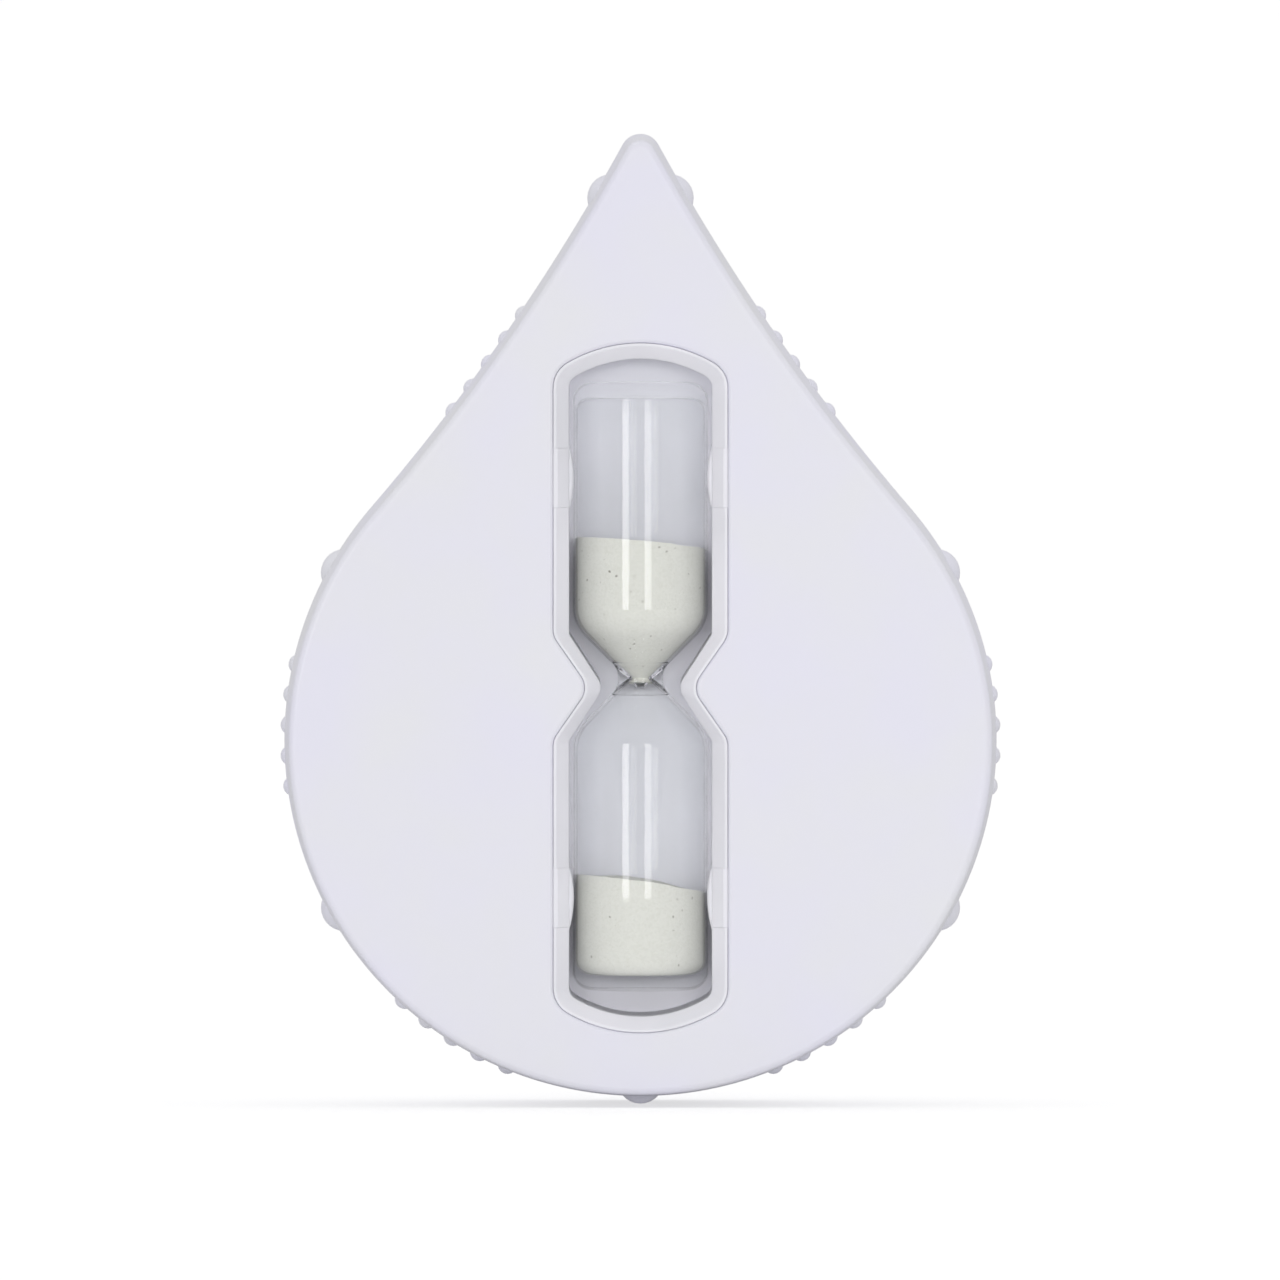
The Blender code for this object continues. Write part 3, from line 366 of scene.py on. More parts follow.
@dataclass(frozen=True)
class MouldedSilicone(Finish):
    """Grey silicone rubber: dull and even, with a faint dusty mottling."""

    dusty: str = "#85868A"
    mottle_size: float = 1.2 * MM

    def dress(self, on: Surface) -> None:
        """Mottles the colour.

        Args:
            on: the surface.
        """
        mottling = {"Vector": on.place, "Scale": 1.0 / self.mottle_size, "Detail": 3.0}
        cloud = add_node(on.tree, "ShaderNodeTexNoise", inputs=mottling)
        add_node(
            on.tree,
            "ShaderNodeValToRGB",
            inputs={"Fac": cloud.outputs["Fac"]},
            outputs={"Color": on.shader.inputs["Base Color"]},
            stops=((0.3, self.colour), (0.75, self.dusty)),
        )


# Shapes


@dataclass(frozen=True)
class Arc:
    """An arc in the front plane; with no steps it is the one point where it starts."""

    centre: tuple[float, float]
    radius: float = 0.0
    start: float = 0.0
    end: float = 0.0
    steps: int = 0

    def at(self, degrees: float, depth: float) -> Vector:
        """The arc's point at an angle.

        Args:
            degrees: the angle.
            depth: the depth that the point lies at.

        Returns:
            The point.
        """
        turn = math.radians(degrees)
        x = self.centre[0] + self.radius * math.cos(turn)
        z = self.centre[1] + self.radius * math.sin(turn)
        return Vector((x, -depth, z))


Path = list[Arc]
Move = tuple[float, float]


def trace(bm: bmesh.types.BMesh, path: Path, depth: float = 0.0) -> None:
    """Draws a path as a chain of edges by spinning its last vertex round each arc's centre.

    Args:
        bm: the bmesh that takes the chain.
        path: the arcs in order; a straight edge joins one that doesn't start where the last one ended.
        depth: the depth that the path lies at.
    """
    tip = bm.verts.new(path[0].at(path[0].start, depth))
    for arc in path:
        start = arc.at(arc.start, depth)
        if (tip.co - start).length > TOUCHING:
            tip = bmesh.ops.extrude_vert_indiv(bm, verts=[tip])["verts"][0]
            tip.co = start
        if arc.steps:
            spun = bmesh.ops.spin(
                bm,
                geom=[tip],
                cent=(arc.centre[0], -depth, arc.centre[1]),
                axis=(0.0, 1.0, 0.0),
                angle=math.radians(arc.start - arc.end),
                steps=arc.steps,
            )
            tip = next(item for item in spun["geom_last"] if isinstance(item, bmesh.types.BMVert))


def loop_of(bm: bmesh.types.BMesh, path: Path, depth: float, mirrors: str) -> list[bmesh.types.BMEdge]:
    """Draws a closed outline from a half or a quarter of it.

    Args:
        bm: the bmesh that takes it.
        path: the part of the outline that is drawn.
        depth: the depth that it lies at.
        mirrors: the axes that mirror it in turn, such as "X" or "ZX".

    Returns:
        The outline's edges.
    """
    sketch = bmesh.new()
    trace(sketch, path, depth)
    for axis in mirrors:
        everything = sketch.verts[:] + sketch.edges[:]
        bmesh.ops.mirror(sketch, geom=everything, merge_dist=TOUCHING, axis=axis)
    bmesh.ops.remove_doubles(sketch, verts=sketch.verts, dist=TOUCHING)
    before = set(bm.edges)
    pour(sketch, bm)
    return [edge for edge in bm.edges if edge not in before]


def pour(source: bmesh.types.BMesh, target: bmesh.types.BMesh) -> None:
    """Adds one bmesh to another and frees it.

    Args:
        source: the one that is added and freed.
        target: the one that takes it.
    """
    mesh = bpy.data.meshes.new("pour")
    source.to_mesh(mesh)
    source.free()
    target.from_mesh(mesh)
    bpy.data.meshes.remove(mesh)


def face_of(bm: bmesh.types.BMesh, edges: list[bmesh.types.BMEdge], facing: Facing) -> bmesh.types.BMFace:
    """Fills an outline with one face.

    Args:
        bm: the outline's bmesh.
        edges: the outline.
        facing: which way the face looks.

    Returns:
        The face.
    """
    face = bmesh.ops.contextual_create(bm, geom=edges)["faces"][0]
    face.normal_update()
    if face.normal.y * facing.value < 0.0:
        bmesh.ops.reverse_faces(bm, faces=[face])
    return face


def raise_face(bm: bmesh.types.BMesh, face: bmesh.types.BMFace, moves: list[Move]) -> bmesh.types.BMesh:
    """Turns a flat face into a closed solid by insetting and raising it in steps.

    Args:
        bm: the face's bmesh.
        face: the face, whose copy closes the solid underneath.
        moves: for each step, how far the outline moves inwards and how far the face rises.

    Returns:
        The same bmesh.
    """
    copy = bmesh.ops.duplicate(bm, geom=[face])["geom"]
    bmesh.ops.reverse_faces(bm, faces=[item for item in copy if isinstance(item, bmesh.types.BMFace)])
    for inward, onward in moves:
        bmesh.ops.inset_region(
            bm, faces=[face], thickness=inward, depth=onward, use_boundary=True, use_even_offset=True
        )
    bmesh.ops.remove_doubles(bm, verts=bm.verts, dist=TOUCHING)
    return bm


def round_over(radius: float, steps: int) -> list[Move]:
    """Moves along a quarter round, from a side wall over to a face.

    Args:
        radius: the round's radius.
        steps: how many flats stand for it.

    Returns:
        Inward and onward moves; in reverse they lead from a face down into a wall.
    """
    moves = []
    for i in range(steps):
        a, b = (math.radians(90.0 * turn / steps) for turn in (i, i + 1))
        moves.append((radius * (math.cos(a) - math.cos(b)), radius * (math.sin(b) - math.sin(a))))
    return moves


def disc(
    x: float, z: float, depth: float, radius: float, moves: list[Move], facing: Facing, steps: int = 48
) -> bmesh.types.BMesh:
    """A round solid along the depth, raised from a disc.

    Args:
        x: where its axis is.
        z: where its axis is.
        depth: depth of its base.
        radius: radius of its base.
        moves: inward and onward moves from the base.
        facing: which way it rises.
        steps: sides of the circle.

    Returns:
        A new bmesh.
    """
    bm = bmesh.new()
    place = Matrix.Translation((x, -depth, z)) @ Matrix.Rotation(math.radians(90.0), 4, "X")
    bmesh.ops.create_circle(bm, segments=steps, radius=radius, matrix=place)
    return raise_face(bm, face_of(bm, bm.edges[:], facing), moves)


def block(
    x: tuple[float, float], depth: tuple[float, float], z: tuple[float, float], turn: Matrix | None = None
) -> bmesh.types.BMesh:
    """A box between two x, two depths and two z.

    Args:
        x: its sides.
        depth: its back and front.
        z: its bottom and top.
        turn: a turn or shift that is applied to it.

    Returns:
        A new bmesh.
    """
    bm = bmesh.new()
    size = (x[1] - x[0], depth[1] - depth[0], z[1] - z[0])
    middle = (sum(x) / 2, -sum(depth) / 2, sum(z) / 2)
    place = Matrix.Translation(middle) @ Matrix.Diagonal((*size, 1.0))
    bmesh.ops.create_cube(bm, size=1.0, matrix=(turn or Matrix.Identity(4)) @ place)
    return bm


def turned(path: Path, steps: int, upright: bool, place: Vector | None = None) -> bmesh.types.BMesh:
    """A solid of revolution from a path of (radius, height).

    Args:
        path: the profile, whose ends lie on the axis or meet each other.
        steps: sides of the circle.
        upright: True for an axis along Z, False for one along the depth, where heights are depths.
        place: where the axis stands.

    Returns:
        A new bmesh.
    """
    bm = bmesh.new()
    trace(bm, path)
    bmesh.ops.remove_doubles(bm, verts=bm.verts, dist=TOUCHING)
    bmesh.ops.spin(
        bm,
        geom=bm.verts[:] + bm.edges[:],
        cent=(0.0, 0.0, 0.0),
        axis=(0.0, 0.0, 1.0),
        angle=math.tau,
        steps=steps,
        use_merge=True,
    )
    bmesh.ops.remove_doubles(bm, verts=bm.verts, dist=TOUCHING)
    bmesh.ops.dissolve_degenerate(bm, dist=TOUCHING / 2, edges=bm.edges)
    if not upright:
        bmesh.ops.rotate(bm, verts=bm.verts, matrix=Matrix.Rotation(math.radians(90.0), 3, "X"))
    bmesh.ops.translate(bm, verts=bm.verts, vec=place or Vector())
    bmesh.ops.recalc_face_normals(bm, faces=bm.faces)
    return bm


def together(*solids: bmesh.types.BMesh) -> bmesh.types.BMesh:
    """Gathers solids that don't touch each other in one bmesh.

    Args:
        solids: the solids, which are freed.

    Returns:
        A new bmesh.
    """
    gathered = bmesh.new()
    for solid in solids:
        pour(solid, gathered)
    return gathered


class Piece:
    """One piece of the timer in the making."""

    def __init__(self, name: str, bm: bmesh.types.BMesh) -> None:
        """Makes the piece's object from a bmesh and frees that.

        Args:
            name: the piece's name.
            bm: its first shape.
        """
        mesh = bpy.data.meshes.new(name)
        bm.to_mesh(mesh)
        bm.free()
        self.obj = bpy.data.objects.new(name, mesh)
        bpy.context.scene.collection.objects.link(self.obj)

    def carve(self, how: Carve, helper: bmesh.types.BMesh) -> "Piece":
        """Joins a helper to the piece, cuts it out or keeps only what is in it, and frees it.

        Args:
            how: join, cut or keep.
            helper: a closed solid, or several that don't touch each other.

        Returns:
            The piece.
        """
        tool = Piece("helper", helper)
        step = self.obj.modifiers.new("carve", "BOOLEAN")
        step.operation = how.value
        step.object = tool.obj
        self.apply()
        mesh = tool.obj.data
        bpy.data.objects.remove(tool.obj)
        bpy.data.meshes.remove(mesh)
        return self

    def join(self, helper: bmesh.types.BMesh) -> "Piece":
        """Joins a helper to the piece."""
        return self.carve(Carve.JOIN, helper)

    def cut(self, helper: bmesh.types.BMesh) -> "Piece":
        """Cuts the piece with a helper."""
        return self.carve(Carve.CUT, helper)

    def apply(self) -> None:
        """Makes the piece's modifiers part of its mesh."""
        graph = bpy.context.evaluated_depsgraph_get()
        made = bpy.data.meshes.new_from_object(self.obj.evaluated_get(graph))
        old = self.obj.data
        self.obj.modifiers.clear()
        self.obj.data = made
        made.name = self.obj.name
        bpy.data.meshes.remove(old)

    def finish(self, finish: bpy.types.Material, slot: Slot, body: Body, *nodes: str) -> bpy.types.Object:
        """Smooths, dresses and mounts the piece.

        Args:
            finish: its material.
            slot: the record's slot for it; not used.
            body: the body it rides on.
            nodes: the nodes that it stands for.

        Returns:
            The piece's object.
        """
        bm = bmesh.new()
        bm.from_mesh(self.obj.data)
        bmesh.ops.remove_doubles(bm, verts=bm.verts, dist=TOUCHING)
        bmesh.ops.dissolve_degenerate(bm, dist=TOUCHING / 2, edges=bm.edges)
        bm.to_mesh(self.obj.data)
        bm.free()
        mesh = self.obj.data
        mesh.materials.clear()
        mesh.materials.append(finish)
        mesh.shade_smooth()
        mesh.set_sharp_from_angle(angle=math.radians(SHARP_DEG))
        weigh = self.obj.modifiers.new("weigh", "WEIGHTED_NORMAL")
        weigh.keep_sharp = True
        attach(self.obj, body.value)
        if nodes:
            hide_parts(*nodes)
        return self.obj


# The case


@dataclass(frozen=True)
class Depths:
    """Depths of the case's planes, out from the wall."""

    boss_back: float = 8.6 * MM
    case_back: float = 9.6 * MM
    back_inside: float = 11.6 * MM
    tray_back: float = 17.3 * MM
    tray_floor: float = 18.5 * MM
    well_floor: float = 19.8 * MM
    seam: float = 22.45 * MM
    vial_axis: float = 26.8 * MM
    face_inside: float = 33.6 * MM
    rim_top: float = 35.45 * MM
    face: float = 35.6 * MM


DEPTHS = Depths()


@dataclass(frozen=True)
class Drop:
    """The drop's outline: a round lower part, two slightly hollow flanks and a small round tip."""

    radius: float = 42.0 * MM
    centre_z: float = -6.5 * MM
    tip_z: float = 65.0 * MM
    tip_radius: float = 2.4 * MM
    flank_radius: float = 250.0 * MM
    inner_tip_radius: float = 1.5 * MM
    tip_steps: int = 8
    flank_steps: int = 28
    round_steps: int = 84

    def flank_centre(self) -> tuple[float, float]:
        """Works out the centre of the right flank's arc, which touches the round part and the tip's arc.

        Returns:
            Its x and z.
        """
        tip = self.tip_z - self.tip_radius
        to_drop = self.flank_radius + self.radius
        to_tip = self.flank_radius + self.tip_radius
        rise = to_drop**2 - to_tip**2 + tip**2 - self.centre_z**2
        z = rise / (2 * (tip - self.centre_z))
        return math.sqrt(to_drop**2 - (z - self.centre_z) ** 2), z

    def path(self, inset: float = 0.0) -> Path:
        """The outline's right half.

        Args:
            inset: how far it lies inside the drop's edge.

        Returns:
            Its arcs from the tip down.
        """
        centre = self.flank_centre()
        flank = self.flank_radius + inset
        tip_radius = max(self.tip_radius - inset, self.inner_tip_radius)
        tip_z = centre[1] - math.sqrt((flank + tip_radius) ** 2 - centre[0] ** 2)
        tip_end = math.degrees(math.atan2(centre[1] - tip_z, centre[0]))
        foot = math.degrees(math.atan2(centre[1] - self.centre_z, centre[0]))
        return [
            Arc((0.0, tip_z), tip_radius, 90.0, tip_end, self.tip_steps),
            Arc(centre, flank, tip_end + 180.0, foot + 180.0, self.flank_steps),
            Arc((0.0, self.centre_z), self.radius - inset, foot, -90.0, self.round_steps),
        ]

    def solid(self, inset: float, depth: float, moves: list[Move], facing: Facing) -> bmesh.types.BMesh:
        """A solid raised from the drop's outline.

        Args:
            inset: how far its base lies inside the drop's edge.
            depth: depth of its base.
            moves: inward and onward moves from the base.
            facing: which way it rises.

        Returns:
            A new bmesh.
        """
        bm = bmesh.new()
        edges = loop_of(bm, self.path(inset), depth, "X")
        return raise_face(bm, face_of(bm, edges, facing), moves)


END_STEPS = 12                          # flats of the hourglass's arcs
CORNER_STEPS = 8
BEND_STEPS = 6
LEAST_WAIST_RADIUS = 0.2 * MM


@dataclass(frozen=True)
class Hourglass:
    """An outline with rounded ends and a narrow waist, centred on the turning axis."""

    half_width: float
    half_height: float
    end_radius: float
    corner_radius: float
    shoulder_height: float
    shoulder_radius: float
    waist_half_width: float
    waist_radius: float

    def lean(self) -> float:
        """Works out how far the diagonal from shoulder to waist leans from upright.

        Returns:
            Its lean in degrees.
        """
        across = self.half_width - self.waist_half_width - self.waist_radius
        reach = math.hypot(across, self.shoulder_height)
        return math.degrees(math.atan2(across, self.shoulder_height) + math.asin(self.waist_radius / reach))

    def grown(self, distance: float) -> "Hourglass":
        """The same outline moved outwards.

        Args:
            distance: how far.

        Returns:
            A new outline.
        """
        half_lean = math.radians(self.lean() / 2)
        return replace(
            self,
            half_width=self.half_width + distance,
            half_height=self.half_height + distance,
            end_radius=self.end_radius + distance,
            corner_radius=self.corner_radius + distance,
            shoulder_height=self.shoulder_height - distance * math.tan(half_lean),
            shoulder_radius=self.shoulder_radius + distance,
            waist_half_width=self.waist_half_width + distance,
            waist_radius=max(self.waist_radius - distance, LEAST_WAIST_RADIUS),
        )

    def toward(self, other: "Hourglass", share: float) -> "Hourglass":
        """The outline between this one and another.

        Args:
            other: the other outline.
            share: how much of the way to it, from 0 to 1.

        Returns:
            A new outline.
        """
        mixed = {
            size.name: getattr(self, size.name) * (1 - share) + getattr(other, size.name) * share
            for size in fields(self)
        }
        return Hourglass(**mixed)

    def path(self) -> Path:
        """The outline's upper right quarter.

        Returns:
            Its arcs from the top's middle to the waist.
        """
        lean = self.lean()
        end_z = self.half_height - self.end_radius
        reach = self.end_radius - self.corner_radius
        corner_x = self.half_width - self.corner_radius
        rise = math.sqrt(reach**2 - corner_x**2)
        turn = math.degrees(math.atan2(rise, corner_x))
        drop = self.shoulder_radius * math.tan(math.radians(lean / 2))
        shoulder = (self.half_width - self.shoulder_radius, self.shoulder_height + drop)
        waist = (self.waist_half_width + self.waist_radius, 0.0)
        return [
            Arc((0.0, end_z), self.end_radius, 90.0, turn, END_STEPS),
            Arc((corner_x, end_z + rise), self.corner_radius, turn, 0.0, CORNER_STEPS),
            Arc(shoulder, self.shoulder_radius, 0.0, -lean, BEND_STEPS),
            Arc(waist, self.waist_radius, 180.0 - lean, 180.0, BEND_STEPS),
        ]

    def solid(self, depth: float, moves: list[Move], facing: Facing) -> bmesh.types.BMesh:
        """A solid raised from this outline.

        Args:
            depth: depth of its base.
            moves: inward and onward moves from the base.
            facing: which way it rises.

        Returns:
            A new bmesh.
        """
        bm = bmesh.new()
        edges = loop_of(bm, self.path(), depth, "ZX")
        return raise_face(bm, face_of(bm, edges, facing), moves)


DROP = Drop()
POCKET = Hourglass(
    half_width=8.4 * MM,
    half_height=38.7 * MM,
    end_radius=15.2 * MM,
    corner_radius=1.5 * MM,
    shoulder_height=6.25 * MM,
    shoulder_radius=0.8 * MM,
    waist_half_width=4.7 * MM,
    waist_radius=1.8 * MM,
)
RIM = Hourglass(
    half_width=10.25 * MM,
    half_height=40.55 * MM,
    end_radius=17.05 * MM,
    corner_radius=3.35 * MM,
    shoulder_height=6.1 * MM,
    shoulder_radius=2.5 * MM,
    waist_half_width=6.55 * MM,
    waist_radius=2.5 * MM,
)


@dataclass(frozen=True)
class Bead:
    """One bead: its foot on the drop's outline, its outward turn, its radius and how far it stands out."""

    foot: Vector
    turn: float
    radius: float
    height: float


@dataclass(frozen=True)
class GripBeads:
    """Round beads along the seam, in groups of five small ones between single large ones."""

    small: tuple[float, float] = (1.2 * MM, 0.5 * MM)       # radius, and how far it stands out
    large: tuple[float, float] = (2.8 * MM, 0.9 * MM)
    small_sides: tuple[int, int] = (18, 12)
    large_sides: tuple[int, int] = (28, 18)
    group: tuple[int, ...] = (-2, -1, 0, 1, 2)
    round_pitch_deg: float = 5.0
    round_groups_deg: tuple[float, ...] = (2.5, -57.7)
    round_large_deg: tuple[float, ...] = (29.5, -29.5)
    flank_pitch: float = 3.5 * MM
    flank_group_z: float = 38.2 * MM
    flank_large_z: float = 58.4 * MM

    def places(self) -> list[Bead]:
        """Works out where the beads of the right side and the bottom stand.

        Returns:
            The beads.
        """
        turns = [(angle, self.large) for angle in self.round_large_deg]
        for middle in self.round_groups_deg:
            turns += [(middle + self.round_pitch_deg * i, self.small) for i in self.group]
        turns.append((-90.0, self.large))
        edge = Arc((0.0, DROP.centre_z), DROP.radius)
        found = [Bead(edge.at(angle, DEPTHS.seam), math.radians(angle), *size) for angle, size in turns]
        centre = DROP.flank_centre()
        edge = Arc(centre, DROP.flank_radius)
        flank = [(self.flank_group_z, self.flank_pitch * i, self.small) for i in self.group]
        flank.append((self.flank_large_z, 0.0, self.large))
        for height, along, size in flank:
            level = math.asin((height - centre[1]) / DROP.flank_radius) + along / DROP.flank_radius
            foot = edge.at(180.0 - math.degrees(level), DEPTHS.seam)
            found.append(Bead(foot, -level, *size))
        return found

    def solid(self) -> bmesh.types.BMesh:
        """All the beads, each a ball sunk in the wall.

        Returns:
            A new bmesh.
        """
        bm = bmesh.new()
        for bead in self.places():
            outward = Vector((math.cos(bead.turn), 0.0, math.sin(bead.turn)))
            middle = Matrix.Translation(bead.foot - outward * (bead.radius - bead.height))
            rounds, rows = self.large_sides if bead.radius > self.small[0] else self.small_sides
            ball = bmesh.ops.create_uvsphere(
                bm,
                u_segments=rounds,
                v_segments=rows,
                radius=bead.radius,
                matrix=middle @ Matrix.Rotation(math.radians(90.0), 4, "X"),
            )["verts"]
            if abs(bead.foot.x) > TOUCHING:
                own = set(ball)
                around = [item for item in (*bm.edges, *bm.faces) if item.verts[0] in own]
                bmesh.ops.mirror(bm, geom=ball + around, merge_dist=TOUCHING, axis="X")
        bmesh.ops.recalc_face_normals(bm, faces=bm.faces)
        return bm


@dataclass(frozen=True)
class ScrewPlaces:
    """Where the three case screws stand."""

    tip: tuple[float, float] = (0.0, 49.96 * MM)
    side: tuple[float, float] = (27.01 * MM, -25.98 * MM)

    def all(self) -> dict[str, tuple[float, float]]:
        """Each screw's place by its name."""
        return {"tip": self.tip, "left": (-self.side[0], self.side[1]), "right": self.side}


SCREWS = ScrewPlaces()


@dataclass
class Case:
    """The two shells of the case."""

    wall: float = 2.0 * MM
    draft: float = 0.6 * MM
    face_fillet: float = 0.85 * MM
    back_fillet: float = 1.5 * MM
    inner_fillet: float = 0.6 * MM
    seam_line: float = 0.07 * MM
    lip_inset: float = 1.1 * MM
    lip_height: float = 1.5 * MM
    lip_gap: float = 0.3 * MM
    window_gap: float = 0.02 * MM
    window_edge: float = 0.5 * MM
    post_radius: float = 3.2 * MM
    hole_radius: float = 1.75 * MM
    post_hole: float = 10.5 * MM
    well_hole: float = 6.0 * MM
    well_radius: float = 3.1 * MM
    well_wall: float = 1.2 * MM
    well_edge: float = 0.35 * MM
    rib: float = 1.4 * MM
    rib_depth: float = 6.0 * MM
    boss_radius: float = 7.0 * MM
    boss_edge: float = 0.25 * MM
    bore_radius: float = 2.1 * MM
    rest_z: float = 24.7 * MM           # ribs that the tray rests on
    rest_length: float = 18.0 * MM
    rest_width: float = 1.6 * MM
    rest_gap: float = 0.3 * MM
    outer_steps: int = 8                # flats of the rounded edges
    inner_steps: int = 3
    window_steps: int = 5
    well_steps: int = 4
    boss_steps: int = 72
    beads: GripBeads = field(default_factory=GripBeads)

    def ribs(self, depth: tuple[float, float]) -> bmesh.types.BMesh:
        """A rib from each screw post straight out to the case's wall.

        Args:
            depth: back and front of the ribs.

        Returns:
            A new bmesh.
        """
        ribs = []
        for x, z in SCREWS.all().values():
            turn = math.atan2(z - DROP.centre_z, x)
            reach = DROP.radius - self.wall / 2 - math.hypot(x, z - DROP.centre_z)
            if x == 0.0:
                reach = DROP.tip_z - DROP.tip_radius - self.wall - z
            place = Matrix.Translation((x, 0.0, z)) @ Matrix.Rotation(-turn, 4, "Y")
            ribs.append(block((0.0, reach), depth, (-self.rib / 2, self.rib / 2), place))
        return together(*ribs)

    def posts(self, radius: float, depth: float, moves: list[Move], facing: Facing) -> bmesh.types.BMesh:
        """The same round solid at each screw.

        Args:
            radius: its radius.
            depth: depth of its base.
            moves: inward and onward moves from its base.
            facing: which way it rises.

        Returns:
            A new bmesh.
        """
        return together(*(disc(x, z, depth, radius, moves, facing) for x, z in SCREWS.all().values()))

    def front_shell(self, white: bpy.types.Material) -> bpy.types.Object:
        """The face with its window, the front half of the side wall and of the beads, and the posts.

        Args:
            white: the finish.

        Returns:
            The piece.
        """
        edge = DEPTHS.seam + self.seam_line / 2
        rise = DEPTHS.face - DEPTHS.seam - self.face_fillet
        moves = [(0.0, PAST), (self.draft, rise), *round_over(self.face_fillet, self.outer_steps)]
        shell = Piece("front_shell_moulding", DROP.solid(0.0, DEPTHS.seam - PAST, moves, Facing.FRONT))
        shell.join(self.beads.solid())
        shell.cut(block((-AROUND, AROUND), (0.0, edge), (-AROUND, AROUND)))
        lip_back = DEPTHS.seam - self.lip_height
        shell.join(DROP.solid(self.lip_inset, lip_back, [(0.0, self.lip_height + PAST)], Facing.FRONT))
        rise = DEPTHS.face_inside - DEPTHS.seam - self.inner_fillet
        moves = [(0.0, self.lip_height + PAST), (self.draft, rise)]
        moves += round_over(self.inner_fillet, self.inner_steps)
        shell.cut(DROP.solid(self.wall, lip_back - PAST, moves, Facing.FRONT))
        length = DEPTHS.face - self.wall / 2 - DEPTHS.seam
        shell.join(self.posts(self.post_radius, edge, [(0.0, length)], Facing.FRONT))
        shell.join(self.ribs((DEPTHS.face_inside - self.rib_depth, DEPTHS.face - self.wall / 2)))
        shell.cut(self.posts(self.hole_radius, DEPTHS.seam - PAST, [(0.0, self.post_hole)], Facing.FRONT))
        opening = RIM.grown(self.window_gap + self.window_edge)
        edge_moves = reversed(round_over(self.window_edge, self.window_steps))
        moves = [(0.0, PAST), *edge_moves, (0.0, self.wall + PAST)]
        shell.cut(opening.solid(DEPTHS.face + PAST, moves, Facing.BACK))
        return shell.finish(white, Slot.WHITE_ABS, Body.TIMER, "front_shell")

    def rear_shell(self, white: bpy.types.Material) -> bpy.types.Object:
        """The back, the rear half of the side wall and of the beads, the wells, ribs and pivot boss.

        Args:
            white: the finish.

        Returns:
            The piece.
        """
        edge = DEPTHS.seam - self.seam_line / 2
        rise = DEPTHS.seam - DEPTHS.case_back - self.back_fillet
        moves = [(0.0, PAST), (self.draft, rise), *round_over(self.back_fillet, self.outer_steps)]
        shell = Piece("rear_shell_moulding", DROP.solid(0.0, DEPTHS.seam + PAST, moves, Facing.BACK))
        shell.join(self.beads.solid())
        shell.cut(block((-AROUND, AROUND), (edge, DEPTHS.face + PAST), (-AROUND, AROUND)))
        rise = DEPTHS.seam - DEPTHS.back_inside - self.inner_fillet
        moves = [(0.0, PAST), (self.draft, rise), *round_over(self.inner_fillet, self.inner_steps)]
        shell.cut(DROP.solid(self.wall, DEPTHS.seam + PAST, moves, Facing.BACK))
        rebate = self.lip_inset - self.lip_gap
        moves = [(0.0, PAST + self.lip_height + self.lip_gap)]
        shell.cut(DROP.solid(rebate, DEPTHS.seam + PAST, moves, Facing.BACK))
        root = DEPTHS.case_back + self.wall / 2
        shell.join(self.posts(self.well_radius + self.well_wall, root, [(0.0, edge - root)], Facing.FRONT))
        shell.join(self.ribs((root, DEPTHS.back_inside + self.rib_depth)))
        half, thick = self.rest_length / 2, self.rest_width / 2
        depth = (root, DEPTHS.tray_back - self.rest_gap)
        rests = [block((-half, half), depth, (z - thick, z + thick)) for z in (self.rest_z, -self.rest_z)]
        shell.join(together(*rests))
        lift = DEPTHS.case_back - DEPTHS.boss_back
        moves = [(0.0, self.wall / 2 + lift - self.boss_edge)]
        moves += round_over(self.boss_edge, self.inner_steps)
        shell.join(disc(0.0, 0.0, root, self.boss_radius, moves, Facing.BACK, self.boss_steps))
        depth = DEPTHS.well_floor - DEPTHS.case_back - self.well_edge
        edge_moves = reversed(round_over(self.well_edge, self.well_steps))
        moves = [(0.0, PAST), *edge_moves, (0.0, depth)]
        mouth = self.well_radius + self.well_edge
        shell.cut(self.posts(mouth, DEPTHS.case_back - PAST, moves, Facing.FRONT))
        moves = [(0.0, self.well_hole)]
        shell.cut(self.posts(self.hole_radius, DEPTHS.well_floor - PAST, moves, Facing.FRONT))
        length = DEPTHS.back_inside - DEPTHS.boss_back + 2 * PAST
        shell.cut(disc(0.0, 0.0, DEPTHS.boss_back - PAST, self.bore_radius, [(0.0, length)], Facing.FRONT))
        return shell.finish(white, Slot.WHITE_ABS, Body.TIMER, "rear_shell")


